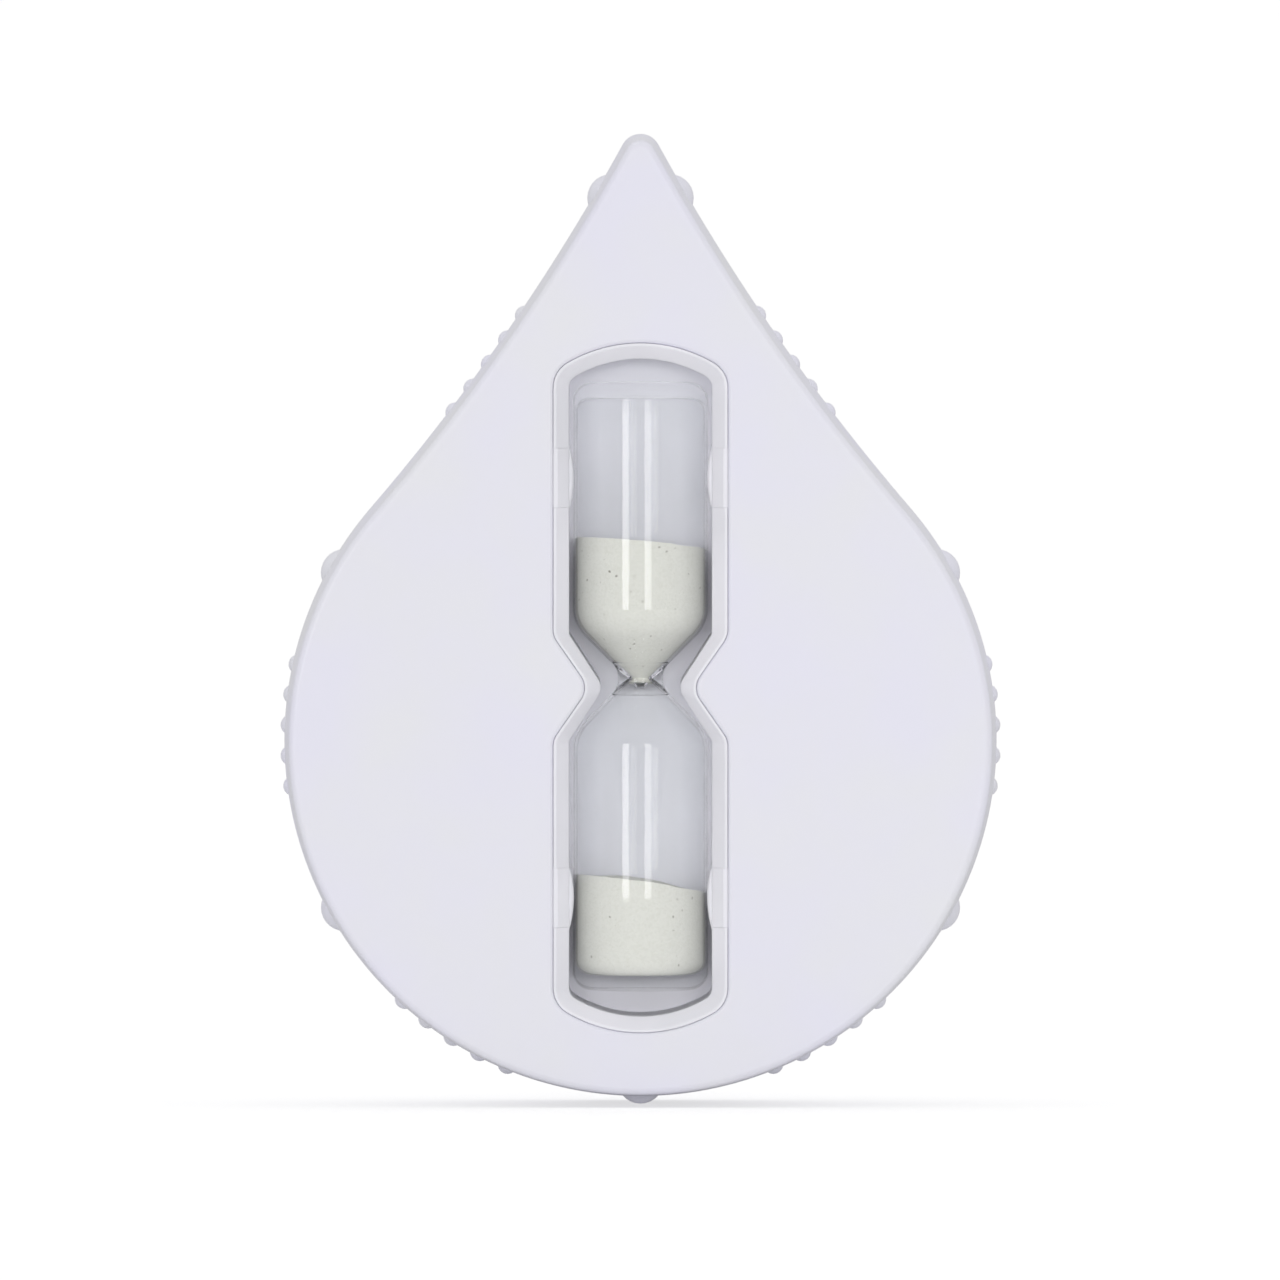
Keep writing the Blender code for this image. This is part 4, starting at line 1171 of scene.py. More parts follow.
@dataclass
class Holder:
    """The tray behind the window, with its chamfered rim, its flange and its four snap fingers."""

    outer_edge: float = 0.1 * MM
    ridge_inset: float = 0.3 * MM       # from the rim's outside to where the chamfer starts
    ridge_radius: float = 0.4 * MM
    chamfer_depth: float = 1.5 * MM
    lower_radius: float = 0.35 * MM
    flange_width: float = 2.0 * MM
    flange_thickness: float = 1.5 * MM
    finger_z: float = 24.7 * MM
    finger_length: float = 7.0 * MM
    finger_step: float = 0.2 * MM
    finger_depth: float = 8.5 * MM
    finger_relief: float = 0.45 * MM
    slot: float = 0.02 * MM
    flange_gap: float = 0.3 * MM        # behind the face's wall
    pad_reach: float = 0.55 * MM
    pad_root: float = 0.8 * MM          # sunk in the side wall
    pad_length: float = 7.8 * MM
    pad_front: float = 2.2 * MM         # behind the face
    pad_depth: float = 5.9 * MM
    pad_round: float = 0.45 * MM
    outer_steps: int = 3                # flats of the rounded edges
    lower_steps: int = 3
    ridge_steps: int = 4
    pad_steps: int = 24
    pad_edge_steps: int = 4

    def pocket(self) -> bmesh.types.BMesh:
        """The hollow of the tray, with its flared mouth.

        Returns:
            A new bmesh.
        """
        ridge = RIM.grown(-self.ridge_inset)
        across = ridge.half_width - POCKET.half_width
        slope = math.atan2(self.chamfer_depth, across)
        stations = [(0.0, DEPTHS.tray_floor)]
        half = (math.pi / 2 - slope) / 2
        tangent = self.lower_radius * math.tan(half)
        for i in range(self.lower_steps + 1):
            turn = 2 * half * i / self.lower_steps
            inward = self.lower_radius * (1 - math.cos(turn))
            up = self.lower_radius * math.sin(turn) - tangent
            stations.append((inward / across, DEPTHS.rim_top - self.chamfer_depth + up))
        tangent = self.ridge_radius * math.tan(slope / 2)
        for i in range(self.ridge_steps + 1):
            turn = slope * (1 - i / self.ridge_steps)
            back = self.ridge_radius * math.sin(turn)
            down = self.ridge_radius * (1 - math.cos(turn))
            stations.append((1 + (tangent - back) / across, DEPTHS.rim_top - down))
        stations.append((stations[-1][0], DEPTHS.rim_top + PAST))
        bm = bmesh.new()
        loops = [loop_of(bm, POCKET.toward(ridge, share).path(), depth, "ZX") for share, depth in stations]
        for near, far in zip(loops, loops[1:]):
            bmesh.ops.bridge_loops(bm, edges=near + far)
        for edges in (loops[0], loops[-1]):
            bmesh.ops.contextual_create(bm, geom=edges)
        bmesh.ops.recalc_face_normals(bm, faces=bm.faces)
        return bm

    def pads(self) -> bmesh.types.BMesh:
        """Four pads that bulge out of the tray's side walls, with rounded edges.

        Returns:
            A new bmesh.
        """
        half = self.pad_length / 2
        radius = (half**2 + self.pad_reach**2) / (2 * self.pad_reach)
        spread = math.degrees(math.asin(half / radius))
        wall = POCKET.half_width
        middle = wall - self.pad_reach + radius
        rise = self.pad_depth - self.pad_round
        pads = []
        for side in (-1, 1):
            for z in (-self.finger_z, self.finger_z):
                facing = 0.0 if side < 0 else 180.0
                first = z - side * half
                corner = side * (wall + self.pad_root)
                path = [
                    Arc((side * middle, z), radius, facing + spread, facing - spread, self.pad_steps),
                    Arc((corner, 2 * z - first)),
                    Arc((corner, first)),
                    Arc((side * wall, first)),
                ]
                bm = bmesh.new()
                trace(bm, path, DEPTHS.face - self.pad_front - self.pad_depth)
                bmesh.ops.remove_doubles(bm, verts=bm.verts, dist=TOUCHING)
                moves = [(0.0, rise), *round_over(self.pad_round, self.pad_edge_steps)]
                pads.append(raise_face(bm, face_of(bm, bm.edges[:], Facing.FRONT), moves))
        return together(*pads)

    def at_fingers(
        self, near: float, far: float, depth: tuple[float, float], spans: list[tuple[float, float]]
    ) -> bmesh.types.BMesh:
        """The same blocks at all four fingers.

        Args:
            near: their near side's distance from the middle.
            far: their far side's.
            depth: their back and front.
            spans: lower and upper end of each block, from a finger's middle.

        Returns:
            A new bmesh.
        """
        blocks = []
        for side in (-1, 1):
            x = tuple(sorted((side * near, side * far)))
            for middle in (-self.finger_z, self.finger_z):
                blocks += [block(x, depth, (middle + low, middle + high)) for low, high in spans]
        return together(*blocks)

    def make(self, white: bpy.types.Material) -> bpy.types.Object:
        """Builds the holder.

        Args:
            white: the finish.

        Returns:
            The piece.
        """
        rise = DEPTHS.rim_top - DEPTHS.tray_back - self.outer_edge
        moves = [(0.0, rise), *round_over(self.outer_edge, self.outer_steps)]
        holder = Piece("vial_holder_moulding", RIM.solid(DEPTHS.tray_back, moves, Facing.FRONT))
        flange_back = DEPTHS.face_inside - self.flange_gap - self.flange_thickness
        flange = RIM.grown(self.flange_width)
        holder.join(flange.solid(flange_back, [(0.0, self.flange_thickness)], Facing.FRONT))
        holder.cut(self.pocket())
        holder.join(self.pads())
        half = self.finger_length / 2
        root = DEPTHS.rim_top - self.finger_depth
        above = DEPTHS.face + PAST
        outside = RIM.half_width + self.flange_width + PAST
        behind = RIM.half_width - self.finger_relief
        holder.cut(self.at_fingers(behind, outside, (root, DEPTHS.face_inside), [(-half, half)]))
        inner = POCKET.half_width - PAST
        step = DEPTHS.rim_top - self.finger_step
        holder.cut(self.at_fingers(inner, outside, (step, above), [(-half, half)]))
        slots = [(end - self.slot / 2, end + self.slot / 2) for end in (-half, half)]
        holder.cut(self.at_fingers(inner, outside, (root, above), slots))
        return holder.finish(white, Slot.WHITE_ABS, Body.TIMER, "vial_holder")


@dataclass
class Vial:
    """The glass with its two bulbs, and the sand in them."""

    radius: float = 8.0 * MM
    half_length: float = 35.8 * MM
    wall: float = 0.35 * MM             # the real 1 mm, less what round glass seems to widen its contents by
    base: float = 1.8 * MM
    corner: float = 2.2 * MM
    inner_corner: float = 1.7 * MM
    core_skin: float = 0.1 * MM         # between the neck's own skins and its thick core
    core_taper: float = 2.0 * MM
    neck_z: float = 0.9 * MM
    neck_radius: float = 2.65 * MM
    neck_bore: float = 0.7 * MM
    neck_curve: float = 2.5 * MM
    shoulder_radius: float = 5.0 * MM
    slope_deg: float = 45.0
    sand_gap: float = 0.03 * MM
    sand_drop: float = 0.4 * MM         # how far it has run into the neck
    upper_level: float = 16.8 * MM
    upper_tilt_deg: float = 5.0
    lower_level: float = -23.3 * MM
    lower_tilt_deg: float = 8.0
    lower_mound: float = 0.7 * MM
    back_tilt_deg: float = 4.0
    fine_lumps: tuple[float, float] = (1.1 * MM, 0.06 * MM)     # width and height
    broad_lumps: tuple[float, float] = (3.3 * MM, 0.12 * MM)
    top_reach: float = 0.01 * MM        # what lies nearer to the sand's flat top than this belongs to it
    top_rings: int = 9
    steps: int = 120
    corner_steps: int = 10
    shoulder_steps: int = 14
    neck_steps: int = 24

    def side(self, inset: float, neck_radius: float, half_length: float, corner: float) -> Path:
        """The profile of the glass or of what is inside it, from top to bottom.

        Args:
            inset: how far it lies inside the glass's outside.
            neck_radius: its radius at the neck.
            half_length: half its length.
            corner: radius of its corners at the ends.

        Returns:
            Its arcs, in (radius, height).
        """
        slope = math.radians(self.slope_deg)
        line = (self.neck_radius + self.neck_curve) * math.cos(slope) - self.neck_curve - inset
        curve = (neck_radius * math.cos(slope) - line) / (1 - math.cos(slope))
        shoulder = self.shoulder_radius - inset
        side_x = self.radius - self.shoulder_radius
        side_z = (side_x * math.cos(slope) + shoulder - line) / math.sin(slope)
        end_x = self.radius - inset - corner
        lean = self.slope_deg
        return [
            Arc((0.0, half_length)),
            Arc((end_x, half_length - corner), corner, 90.0, 0.0, self.corner_steps),
            Arc((side_x, self.neck_z + side_z), shoulder, 0.0, -lean, self.shoulder_steps),
            Arc((neck_radius + curve, self.neck_z), curve, 180.0 - lean, 180.0 + lean, self.neck_steps),
            Arc((side_x, self.neck_z - side_z), shoulder, lean, 0.0, self.shoulder_steps),
            Arc((end_x, corner - half_length), corner, 0.0, -90.0, self.corner_steps),
            Arc((0.0, -half_length)),
        ]

    def inside(self, gap: float) -> bmesh.types.BMesh:
        """The hollow of the glass, less a gap, as a solid.

        Args:
            gap: how far it keeps off the glass.

        Returns:
            A new bmesh.
        """
        half_length = self.half_length - self.base - gap
        path = self.side(self.wall + gap, self.neck_bore - gap, half_length, self.inner_corner)
        return turned(path, self.steps, True, Vector((0.0, -DEPTHS.vial_axis, 0.0)))

    def glass(self, clear: bpy.types.Material) -> bpy.types.Object:
        """The two bulbs and their neck, an outer and an inner skin.

        Args:
            clear: the finish.

        Returns:
            The piece.
        """
        outside = self.side(0.0, self.neck_radius, self.half_length, self.corner)
        skin = turned(outside, self.steps, True, Vector((0.0, -DEPTHS.vial_axis, 0.0)))
        hollow = self.inside(0.0)
        bmesh.ops.reverse_faces(hollow, faces=hollow.faces)
        glass = Piece("vial_glass", together(skin, hollow))
        glass.obj.visible_shadow = False
        return glass.finish(clear, Slot.GLASS, Body.TIMER, "glass_vial")

    def neck_core(self, thick: bpy.types.Material) -> bpy.types.Object:
        """The thick ring of glass round the bore, which tapers out where the wall gets thin.

        Args:
            thick: the finish.

        Returns:
            The piece.
        """
        skin = self.core_skin
        outside = self.side(skin, self.neck_radius - skin, self.half_length, self.corner)
        inside = self.side(self.wall - skin, self.neck_bore + skin, self.half_length, self.corner)
        outer, inner = (path[len(path) // 2] for path in (outside, inside))
        turn = math.radians(self.slope_deg)
        lean = Vector((math.sin(turn), 0.0, math.cos(turn))) * self.core_taper
        ends = [outer.at(angle, 0.0) + inner.at(angle, 0.0) for angle in (outer.start, outer.end)]
        above = ends[0] / 2 + lean
        below = ends[1] / 2 + Vector((lean.x, 0.0, -lean.z))
        path = [
            Arc((above.x, above.z)),
            outer,
            Arc((below.x, below.z)),
            Arc(inner.centre, inner.radius, inner.end, inner.start, inner.steps),
            Arc((above.x, above.z)),
        ]
        ring = turned(path, self.steps, True, Vector((0.0, -DEPTHS.vial_axis, 0.0)))
        core = Piece("vial_neck_core", ring)
        core.obj.visible_shadow = False
        return core.finish(thick, Slot.GLASS, Body.TIMER)

    def heap(
        self, name: str, level: float, tilt_deg: float, floor: float, mound: float, white: bpy.types.Material
    ) -> bpy.types.Object:
        """The sand between a floor and its own uneven top.

        Args:
            name: the piece's name.
            level: height of its top at mid-width.
            tilt_deg: how far the top falls to the right.
            floor: height below which there is none.
            mound: how far its middle stands out of its top, or sinks in when less than 0.
            white: the finish.

        Returns:
            The piece.
        """
        bm = self.inside(self.sand_gap)
        lean, back = math.radians(tilt_deg), math.radians(self.back_tilt_deg)
        for height, normal, above in (
            (floor, (0.0, 0.0, 1.0), False),
            (level, (math.tan(lean), math.tan(back), 1.0), True),
        ):
            bmesh.ops.bisect_plane(
                bm,
                geom=bm.verts[:] + bm.edges[:] + bm.faces[:],
                dist=TOUCHING / 4,
                plane_co=(0.0, -DEPTHS.vial_axis, height),
                plane_no=normal,
                clear_outer=above,
                clear_inner=not above,
            )
            before = set(bm.faces)
            bmesh.ops.holes_fill(bm, edges=bm.edges[:])
            cap = [face for face in bm.faces if face not in before]
        reach = self.radius - self.wall
        inset = reach / (self.top_rings + 1)
        for _ in range(self.top_rings):
            bmesh.ops.inset_region(bm, faces=cap, thickness=inset, use_boundary=True, use_even_offset=True)
        bmesh.ops.poke(bm, faces=cap)
        for vert in bm.verts:
            across = Vector((vert.co.x, vert.co.y + DEPTHS.vial_axis))
            height = level - math.tan(lean) * across.x - math.tan(back) * across.y
            if abs(vert.co.z - height) < self.top_reach:
                share = min(across.length / reach, 1.0)
                lumps = (self.fine_lumps, self.broad_lumps)
                rough = sum(noise.noise(vert.co / width) * rise for width, rise in lumps)
                vert.co.z += mound * (0.5 + 0.5 * math.cos(math.pi * share)) + rough
        bmesh.ops.recalc_face_normals(bm, faces=bm.faces)
        return Piece(f"{name}_fill", bm).finish(white, Slot.SAND, Body.TIMER, name)


@dataclass
class WallMount:
    """The suction cup and what holds the case on it."""

    cup_radius: float = 22.0 * MM
    lip_thickness: float = 0.7 * MM
    lip_width: float = 1.4 * MM
    dish_depth: float = 3.2 * MM
    shoulder: float = 5.0 * MM
    front: float = 7.0 * MM
    boss_radius: float = 6.5 * MM
    edge: float = 0.6 * MM
    stud_radius: float = 2.0 * MM
    flare: float = 1.5                  # how the cup's front falls from its boss to its lip
    stud_head: tuple[float, float, float] = (4.5 * MM, 4.3 * MM, 5.3 * MM)      # radius, back and front
    stud_end: float = 16.7 * MM
    stud_edge: float = 0.2 * MM
    cup_gap: float = 0.02 * MM          # between the cup and the stud that it is moulded round
    bore_gap: float = 0.15 * MM         # between the stud and what slides over it
    washer_edge: float = 0.15 * MM
    nut_slope: float = 0.58             # of its turned corners, 30 degrees
    nut_slack: float = 0.6 * MM
    cup_steps: int = 120
    cup_rows: int = 20
    edge_steps: int = 6
    lip_steps: int = 8
    soft_steps: int = 4
    stud_steps: int = 64
    nut_steps: int = 72

    def cup(self, vinyl: bpy.types.Material) -> bpy.types.Object:
        """The cup, moulded round the stud's head.

        Args:
            vinyl: the finish.

        Returns:
            The piece.
        """
        head_radius, head_back, head_front = self.stud_head
        hole = self.stud_radius + self.cup_gap
        pocket = head_radius + self.cup_gap
        behind, before = head_back - self.cup_gap, head_front + self.cup_gap
        boss = (self.boss_radius - self.edge, self.front - self.edge)
        path = [
            Arc((0.0, behind)),
            Arc((pocket, behind)),
            Arc((pocket, before)),
            Arc((hole, before)),
            Arc((hole, self.front)),
            Arc(boss, self.edge, 90.0, 0.0, self.edge_steps),
        ]
        for i in range(self.cup_rows):
            share = i / self.cup_rows
            radius = self.boss_radius + (self.cup_radius - self.boss_radius) * share
            height = self.lip_thickness + (self.shoulder - self.lip_thickness) * (1 - share) ** self.flare
            path.append(Arc((radius, height)))
        rim = self.lip_thickness / 2
        path.append(Arc((self.cup_radius - rim, rim), rim, 90.0, -90.0, self.lip_steps))
        inner = self.cup_radius - self.lip_width
        path.append(Arc((inner, 0.0)))
        for i in range(1, self.cup_rows + 1):
            share = 1 - i / self.cup_rows
            path.append(Arc((inner * share, self.dish_depth * (1 - share**2))))
        cup = Piece("suction_cup_moulding", turned(path, self.cup_steps, False))
        return cup.finish(vinyl, Slot.VINYL, Body.WALL_MOUNT, "suction_cup")

    def stud(self, steel: bpy.types.Material) -> bpy.types.Object:
        """The stud: a flat head inside the cup and a shaft through the case's back.

        Args:
            steel: the finish.

        Returns:
            The piece.
        """
        head_radius, head_back, head_front = self.stud_head
        soft = self.stud_edge
        path = [
            Arc((0.0, self.stud_end)),
            Arc((self.stud_radius - 2 * soft, self.stud_end)),
            Arc((self.stud_radius, self.stud_end - 2 * soft)),
            Arc((self.stud_radius, head_front)),
            Arc((head_radius - soft, head_front - soft), soft, 90.0, 0.0, self.soft_steps),
            Arc((head_radius - soft, head_back + soft), soft, 0.0, -90.0, self.soft_steps),
            Arc((0.0, head_back)),
        ]
        stud = Piece("pivot_stud_turned", turned(path, self.stud_steps, False))
        return stud.finish(steel, Slot.STEEL, Body.WALL_MOUNT, "pivot_stud")

    def washer(self, node: str, finish: bpy.types.Material, slot: Slot) -> bpy.types.Object:
        """A flat washer with softened edges, the size of its node.

        Args:
            node: the node that it stands for.
            finish: the finish.
            slot: the record's slot for it.

        Returns:
            The piece.
        """
        low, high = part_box(node)
        radius, back, front = high.x, -high.y, -low.y
        hole = self.stud_radius + self.bore_gap
        soft = min(self.washer_edge, (front - back) / 4)
        path = [
            Arc((hole, back)),
            Arc((hole, front)),
            Arc((radius - soft, front - soft), soft, 90.0, 0.0, self.soft_steps),
            Arc((radius - soft, back + soft), soft, 0.0, -90.0, self.soft_steps),
            Arc((hole, back)),
        ]
        ring = Piece(f"{node}_ring", turned(path, self.stud_steps, False))
        return ring.finish(finish, slot, Body.WALL_MOUNT, node)

    def nut(self, steel: bpy.types.Material) -> bpy.types.Object:
        """A hexagon nut with its corners turned off at both ends.

        Args:
            steel: the finish.

        Returns:
            The piece.
        """
        low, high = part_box("pivot_nut")
        back, front = -high.y, -low.y
        flats = (high.x - low.x) / 2
        height = front - back
        bm = bmesh.new()
        place = Matrix.Translation((0.0, -(back + front) / 2, 0.0))
        place @= Matrix.Rotation(math.radians(90.0), 4, "X")
        corner = flats / math.cos(math.radians(30.0))
        bmesh.ops.create_cone(
            bm, cap_ends=True, segments=6, radius1=corner, radius2=corner, depth=height, matrix=place
        )
        nut = Piece("pivot_nut_hexagon", bm)
        outside = corner + self.nut_slack
        fall = (outside - flats) * self.nut_slope
        path = [
            Arc((0.0, front)),
            Arc((flats, front)),
            Arc((outside, front - fall)),
            Arc((outside, back + fall)),
            Arc((flats, back)),
            Arc((0.0, back)),
        ]
        nut.carve(Carve.KEEP, turned(path, self.nut_steps, False))
        bore = self.stud_radius + self.bore_gap
        nut.cut(disc(0.0, 0.0, back - PAST, bore, [(0.0, height + 2 * PAST)], Facing.FRONT))
        return nut.finish(steel, Slot.STEEL, Body.WALL_MOUNT, "pivot_nut")


@dataclass
class CaseScrew:
    """A pan-head screw with a cross recess, driven from behind."""

    where: str
    head_radius: float = 2.8 * MM
    head_height: float = 2.0 * MM
    head_edge: float = 0.25 * MM
    dome: float = 0.7 * MM              # of its back
    shank: float = 1.45 * MM
    thread: float = 0.28 * MM           # off the shank; it isn't drawn, because the post hides it
    point: float = 1.6 * MM
    point_share: float = 0.25           # of the shank that is left at its end
    seat: float = 19.5 * MM
    length: float = 12.0 * MM
    recess_width: float = 0.75 * MM
    recess_reach: float = 1.65 * MM
    recess_depth: float = 1.3 * MM
    recess_taper: float = 0.45
    steps: int = 48
    edge_steps: int = 3
    dome_steps: int = 8

    def make(self, steel: bpy.types.Material) -> bpy.types.Object:
        """Builds the screw.

        Args:
            steel: the finish.

        Returns:
            The piece.
        """
        x, z = SCREWS.all()[self.where]
        tip = self.seat + self.length
        back = self.seat - self.head_height
        core = self.shank - self.thread
        dome = (self.head_radius**2 + self.dome**2) / (2 * self.dome)
        lean = math.degrees(math.asin(self.head_radius / dome))
        edge = (self.head_radius - self.head_edge, self.seat - self.head_edge)
        path = [
            Arc((0.0, tip)),
            Arc((core * self.point_share, tip)),
            Arc((core, tip - self.point)),
            Arc((core, self.seat)),
            Arc(edge, self.head_edge, 90.0, 0.0, self.edge_steps),
            Arc((0.0, back + dome), dome, -90.0 + lean, -90.0, self.dome_steps),
        ]
        screw = Piece(f"case_screw_{self.where}_driven", turned(path, self.steps, False, Vector((x, 0.0, z))))
        reach, half = self.recess_reach, self.recess_width / 2
        for turn in (0.0, 90.0):
            place = Matrix.Translation((x, 0.0, z)) @ Matrix.Rotation(math.radians(turn), 4, "Y")
            arm = block((-reach, reach), (back - PAST, back + self.recess_depth), (-half, half), place)
            for vert in arm.verts:
                if -vert.co.y > back:
                    axis = Vector((x, vert.co.y, z))
                    vert.co = axis + (vert.co - axis) * self.recess_taper
            screw.cut(arm)
        return screw.finish(steel, Slot.STEEL, Body.TIMER, f"case_screw_{self.where}")


# The studio


@dataclass(frozen=True)
class Strip:
    """An upright strip light: how far to the right of the camera's line it stands, and its watts."""

    name: str
    azimuth_deg: float
    power: float


@dataclass
class Studio:
    """A pale sweep, a soft overhead light, two tall strips in front and the camera."""

    floor_z: float = -49.4 * MM
    floor_size: float = 60.0
    floor_front: float = 1.0            # it ends here, so that the glass doesn't mirror the lit paper
    paper: str = "#D0D0D0"
    paper_glow: float = 0.13            # the paper's own light on the timer
    paper_lift: float = 0.54            # and to the camera, for a white ground
    distance: float = 4.5
    elevation_deg: float = 1.5
    frame_width: float = 150.5 * MM     # what the picture's width covers at the timer's face
    aim: tuple[float, float] = (-0.06 * MM, 5.65 * MM)
    sensor: float = 36.0
    sight: float = 60.0                 # how far the camera sees
    front: float = 0.22                 # the tent's light from in front
    sides: float = 0.72                 # and from the sides and behind
    between: tuple[float, float] = (-0.8, -0.2)     # the direction's y, from the one to the other
    backdrop: float = 1.05              # what the camera sees of it, white
    overhead: float = 0.4
    overhead_spread_deg: float = 80.0
    overhead_way: tuple[float, float, float] = (0.0, 0.1, -1.0)
    fill: float = 23.0
    fill_place: tuple[float, float, float] = (0.0, -2.5, 0.15)
    fill_size: tuple[float, float] = (1.1, 0.28)
    strips: tuple[Strip, ...] = (Strip("left_strip", -25.4, 0.79), Strip("right_strip", 12.7, 0.63))
    strip_distance: float = 0.6
    strip_width: float = 0.12
    strip_z: tuple[float, float] = (-0.045, 0.22)

    def camera(self) -> None:
        """Adds the camera, in front of the timer and a little above it."""
        data = bpy.data.cameras.new("camera")
        data.sensor_width = self.sensor
        data.lens = self.sensor * self.distance / self.frame_width
        data.clip_end = self.sight
        camera = bpy.data.objects.new("camera", data)
        bpy.context.scene.collection.objects.link(camera)
        lift = math.radians(self.elevation_deg)
        target = Vector((self.aim[0], -DEPTHS.face, self.aim[1]))
        away = Vector((0.0, -math.cos(lift), math.sin(lift)))
        camera.location = target + away * self.distance
        camera.rotation_mode = "QUATERNION"
        camera.rotation_quaternion = (-away).to_track_quat("-Z", "Y")
        bpy.context.scene.camera = camera

    def light(
        self, name: str, place: Vector, aim: Vector, size: tuple[float, float], power: float, glossy: bool
    ) -> None:
        """Adds a rectangular light that the camera doesn't see.

        Args:
            name: its name.
            place: where it stands.
            aim: what it points at.
            size: its width and height.
            power: its watts.
            glossy: True for a light that only gives glints, False for one that gives none.
        """
        data = bpy.data.lights.new(name, "AREA")
        data.shape = "RECTANGLE"
        data.size, data.size_y = size
        data.energy = power
        lamp = bpy.data.objects.new(name, data)
        bpy.context.scene.collection.objects.link(lamp)
        lamp.location = place
        lamp.rotation_mode = "QUATERNION"
        lamp.rotation_quaternion = (aim - place).to_track_quat("-Z", "Y")
        lamp.visible_camera = False
        lamp.visible_diffuse = not glossy
        lamp.visible_glossy = glossy
        lamp.visible_transmission = False

    def strip(self, strip: Strip) -> None:
        """Adds an upright strip light in front of the timer.

        Args:
            strip: which one.
        """
        turn = math.radians(strip.azimuth_deg)
        low, high = self.strip_z
        aim = Vector((0.0, -DEPTHS.vial_axis, (low + high) / 2))
        place = aim + Vector((math.sin(turn), -math.cos(turn), 0.0)) * self.strip_distance
        self.light(strip.name, place, aim, (self.strip_width, high - low), strip.power, True)

    def make(self) -> None:
        """Builds the studio."""
        self.camera()
        self.sun()
        self.light("fill", Vector(self.fill_place), Vector(), self.fill_size, self.fill, False)
        for strip in self.strips:
            self.strip(strip)
        self.floor()
        self.world()

    def floor(self) -> None:
        """Lays the paper under the timer, matt and a little brighter to the camera than to the timer."""
        bm = bmesh.new()
        bmesh.ops.create_grid(bm, x_segments=1, y_segments=1, size=self.floor_size / 2)
        centre = Vector((0.0, self.floor_size / 2 - self.floor_front, self.floor_z))
        bmesh.ops.translate(bm, verts=bm.verts, vec=centre)
        floor = Piece("studio_floor", bm).obj
        material = bpy.data.materials.new("studio_paper")
        material.use_nodes = True
        tree = material.node_tree
        shader = tree.nodes["Principled BSDF"]
        shader.inputs["Base Color"].default_value = linear(self.paper)
        shader.inputs["Roughness"].default_value = 1.0
        shader.inputs["Specular IOR Level"].default_value = 0.0
        shader.inputs["Emission Color"].default_value = (1.0, 1.0, 1.0, 1.0)
        camera_ray = add_node(tree, "ShaderNodeLightPath").outputs["Is Camera Ray"]
        lift = {"Value": camera_ray, "To Min": self.paper_glow, "To Max": self.paper_lift}
        to_emission = {"Result": shader.inputs["Emission Strength"]}
        add_node(tree, "ShaderNodeMapRange", inputs=lift, outputs=to_emission)
        floor.data.materials.append(material)

    def world(self) -> None:
        """Surroundings that are bright at the sides, as in a light tent, and a white backdrop."""
        world = bpy.data.worlds.new("light_tent")
        bpy.context.scene.world = world
        world.use_nodes = True
        tree = world.node_tree
        background = tree.nodes["Background"]
        background.inputs["Color"].default_value = (1.0, 1.0, 1.0, 1.0)
        direction = add_node(tree, "ShaderNodeTexCoord").outputs["Generated"]
        part = add_node(tree, "ShaderNodeSeparateXYZ", inputs={"Vector": direction})
        spread = {
            "Value": part.outputs["Y"],
            "From Min": self.between[0],
            "From Max": self.between[1],
            "To Min": self.front,
            "To Max": self.sides,
        }
        tent = add_node(tree, "ShaderNodeMapRange", inputs=spread).outputs["Result"]
        camera_ray = add_node(tree, "ShaderNodeLightPath").outputs["Is Camera Ray"]
        seen = {"Value": camera_ray, "To Min": tent, "To Max": self.backdrop}
        add_node(tree, "ShaderNodeMapRange", inputs=seen, outputs={"Result": background.inputs["Strength"]})
        bpy.context.scene.view_settings.view_transform = "Standard"

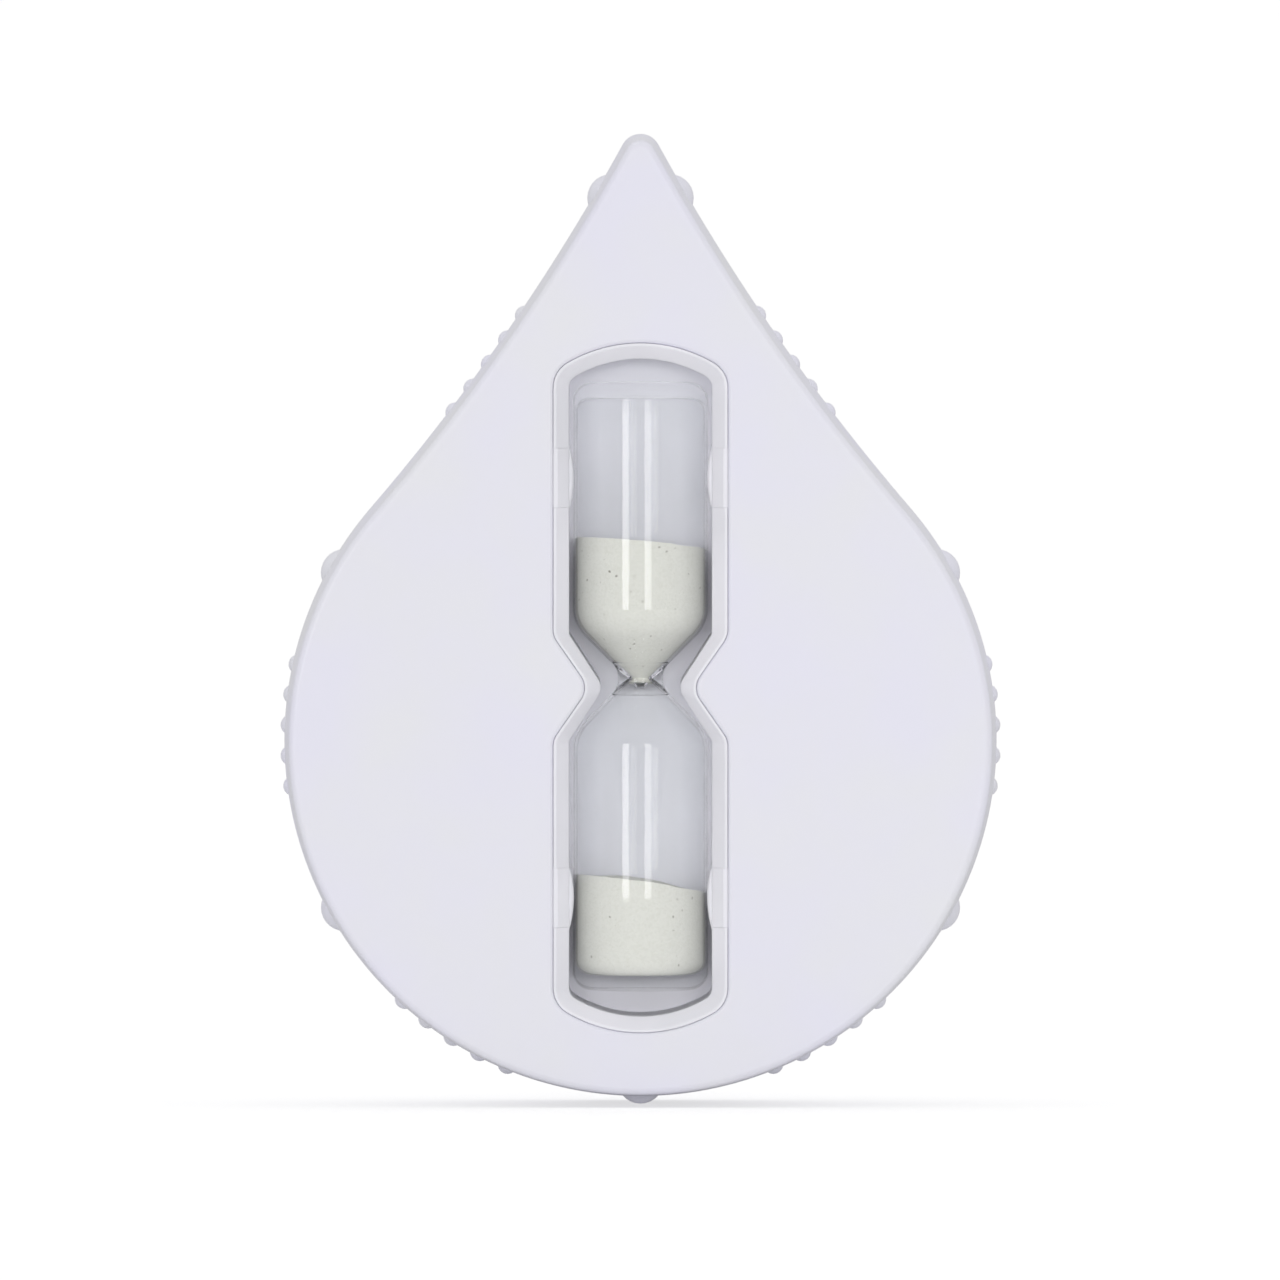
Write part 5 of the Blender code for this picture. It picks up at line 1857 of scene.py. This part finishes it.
    def sun(self) -> None:
        """Adds a very wide soft light from above that lifts the paper to white."""
        data = bpy.data.lights.new("overhead", "SUN")
        data.energy = self.overhead
        data.angle = math.radians(self.overhead_spread_deg)
        lamp = bpy.data.objects.new("overhead", data)
        bpy.context.scene.collection.objects.link(lamp)
        lamp.rotation_mode = "QUATERNION"
        lamp.rotation_quaternion = Vector(self.overhead_way).to_track_quat("-Z", "Y")
        lamp.visible_glossy = False


def main() -> None:
    """Builds the timer and its studio and reports each piece."""
    logging.basicConfig(level=logging.INFO, format="%(name)s: %(message)s")
    white = MouldedAbs("moulded_white_abs", "#EFEEFB", 0.4).make()
    # The holder's white is a brighter copy of the case's ABS: painted light that lifts the tray's pocket,
    # which lies in shade.
    holder_white_painted_brighter = MouldedAbs("moulded_white_abs_holder_painted_brighter", "#F9F8FF", 0.5).make()
    clear = DrawnGlass("thin_soda_lime_glass", "#FCFEFE", 0.0, ior=1.03).make()
    core = DrawnGlass("thick_soda_lime_glass", "#FFFFFF", 0.0, ior=1.12, gloss=0.0, body=1.0, dust=0.0)
    thick = core.make()
    sand = WashedSand("washed_quartz_sand", "#EAEAE3", 0.95).make()
    vinyl = SoftVinyl("clear_soft_pvc", "#F1F4F6", 0.06, ior=1.53).make()
    silicone = MouldedSilicone("moulded_grey_silicone", "#737478", 0.6).make()
    steel = TurnedSteel("turned_stainless_steel").make()

    case, vial, mount = Case(), Vial(), WallMount()
    mouth = vial.neck_z - vial.sand_drop
    pieces = [
        case.front_shell(white),
        case.rear_shell(white),
        Holder().make(holder_white_painted_brighter),
        vial.glass(clear),
        vial.neck_core(thick),
        vial.heap("upper_sand", vial.upper_level, vial.upper_tilt_deg, mouth, 0.0, sand),
        vial.heap(
            "lower_sand", vial.lower_level, vial.lower_tilt_deg, -vial.half_length, vial.lower_mound, sand
        ),
        mount.cup(vinyl),
        mount.stud(steel),
        mount.washer("friction_washer", silicone, Slot.SILICONE),
        mount.washer("plain_washer", steel, Slot.STEEL),
        mount.nut(steel),
    ]
    for where, place in SCREWS.all().items():
        screw_steel = TurnedSteel(f"turned_screw_steel_{where}", axis=place).make()
        pieces.append(CaseScrew(where).make(screw_steel))
    for piece in pieces:
        log.info("%s: %d faces, %s", piece.name, len(piece.data.polygons), piece.data.materials[0].name)
    Studio().make()


if __name__ == "__main__":
    main()
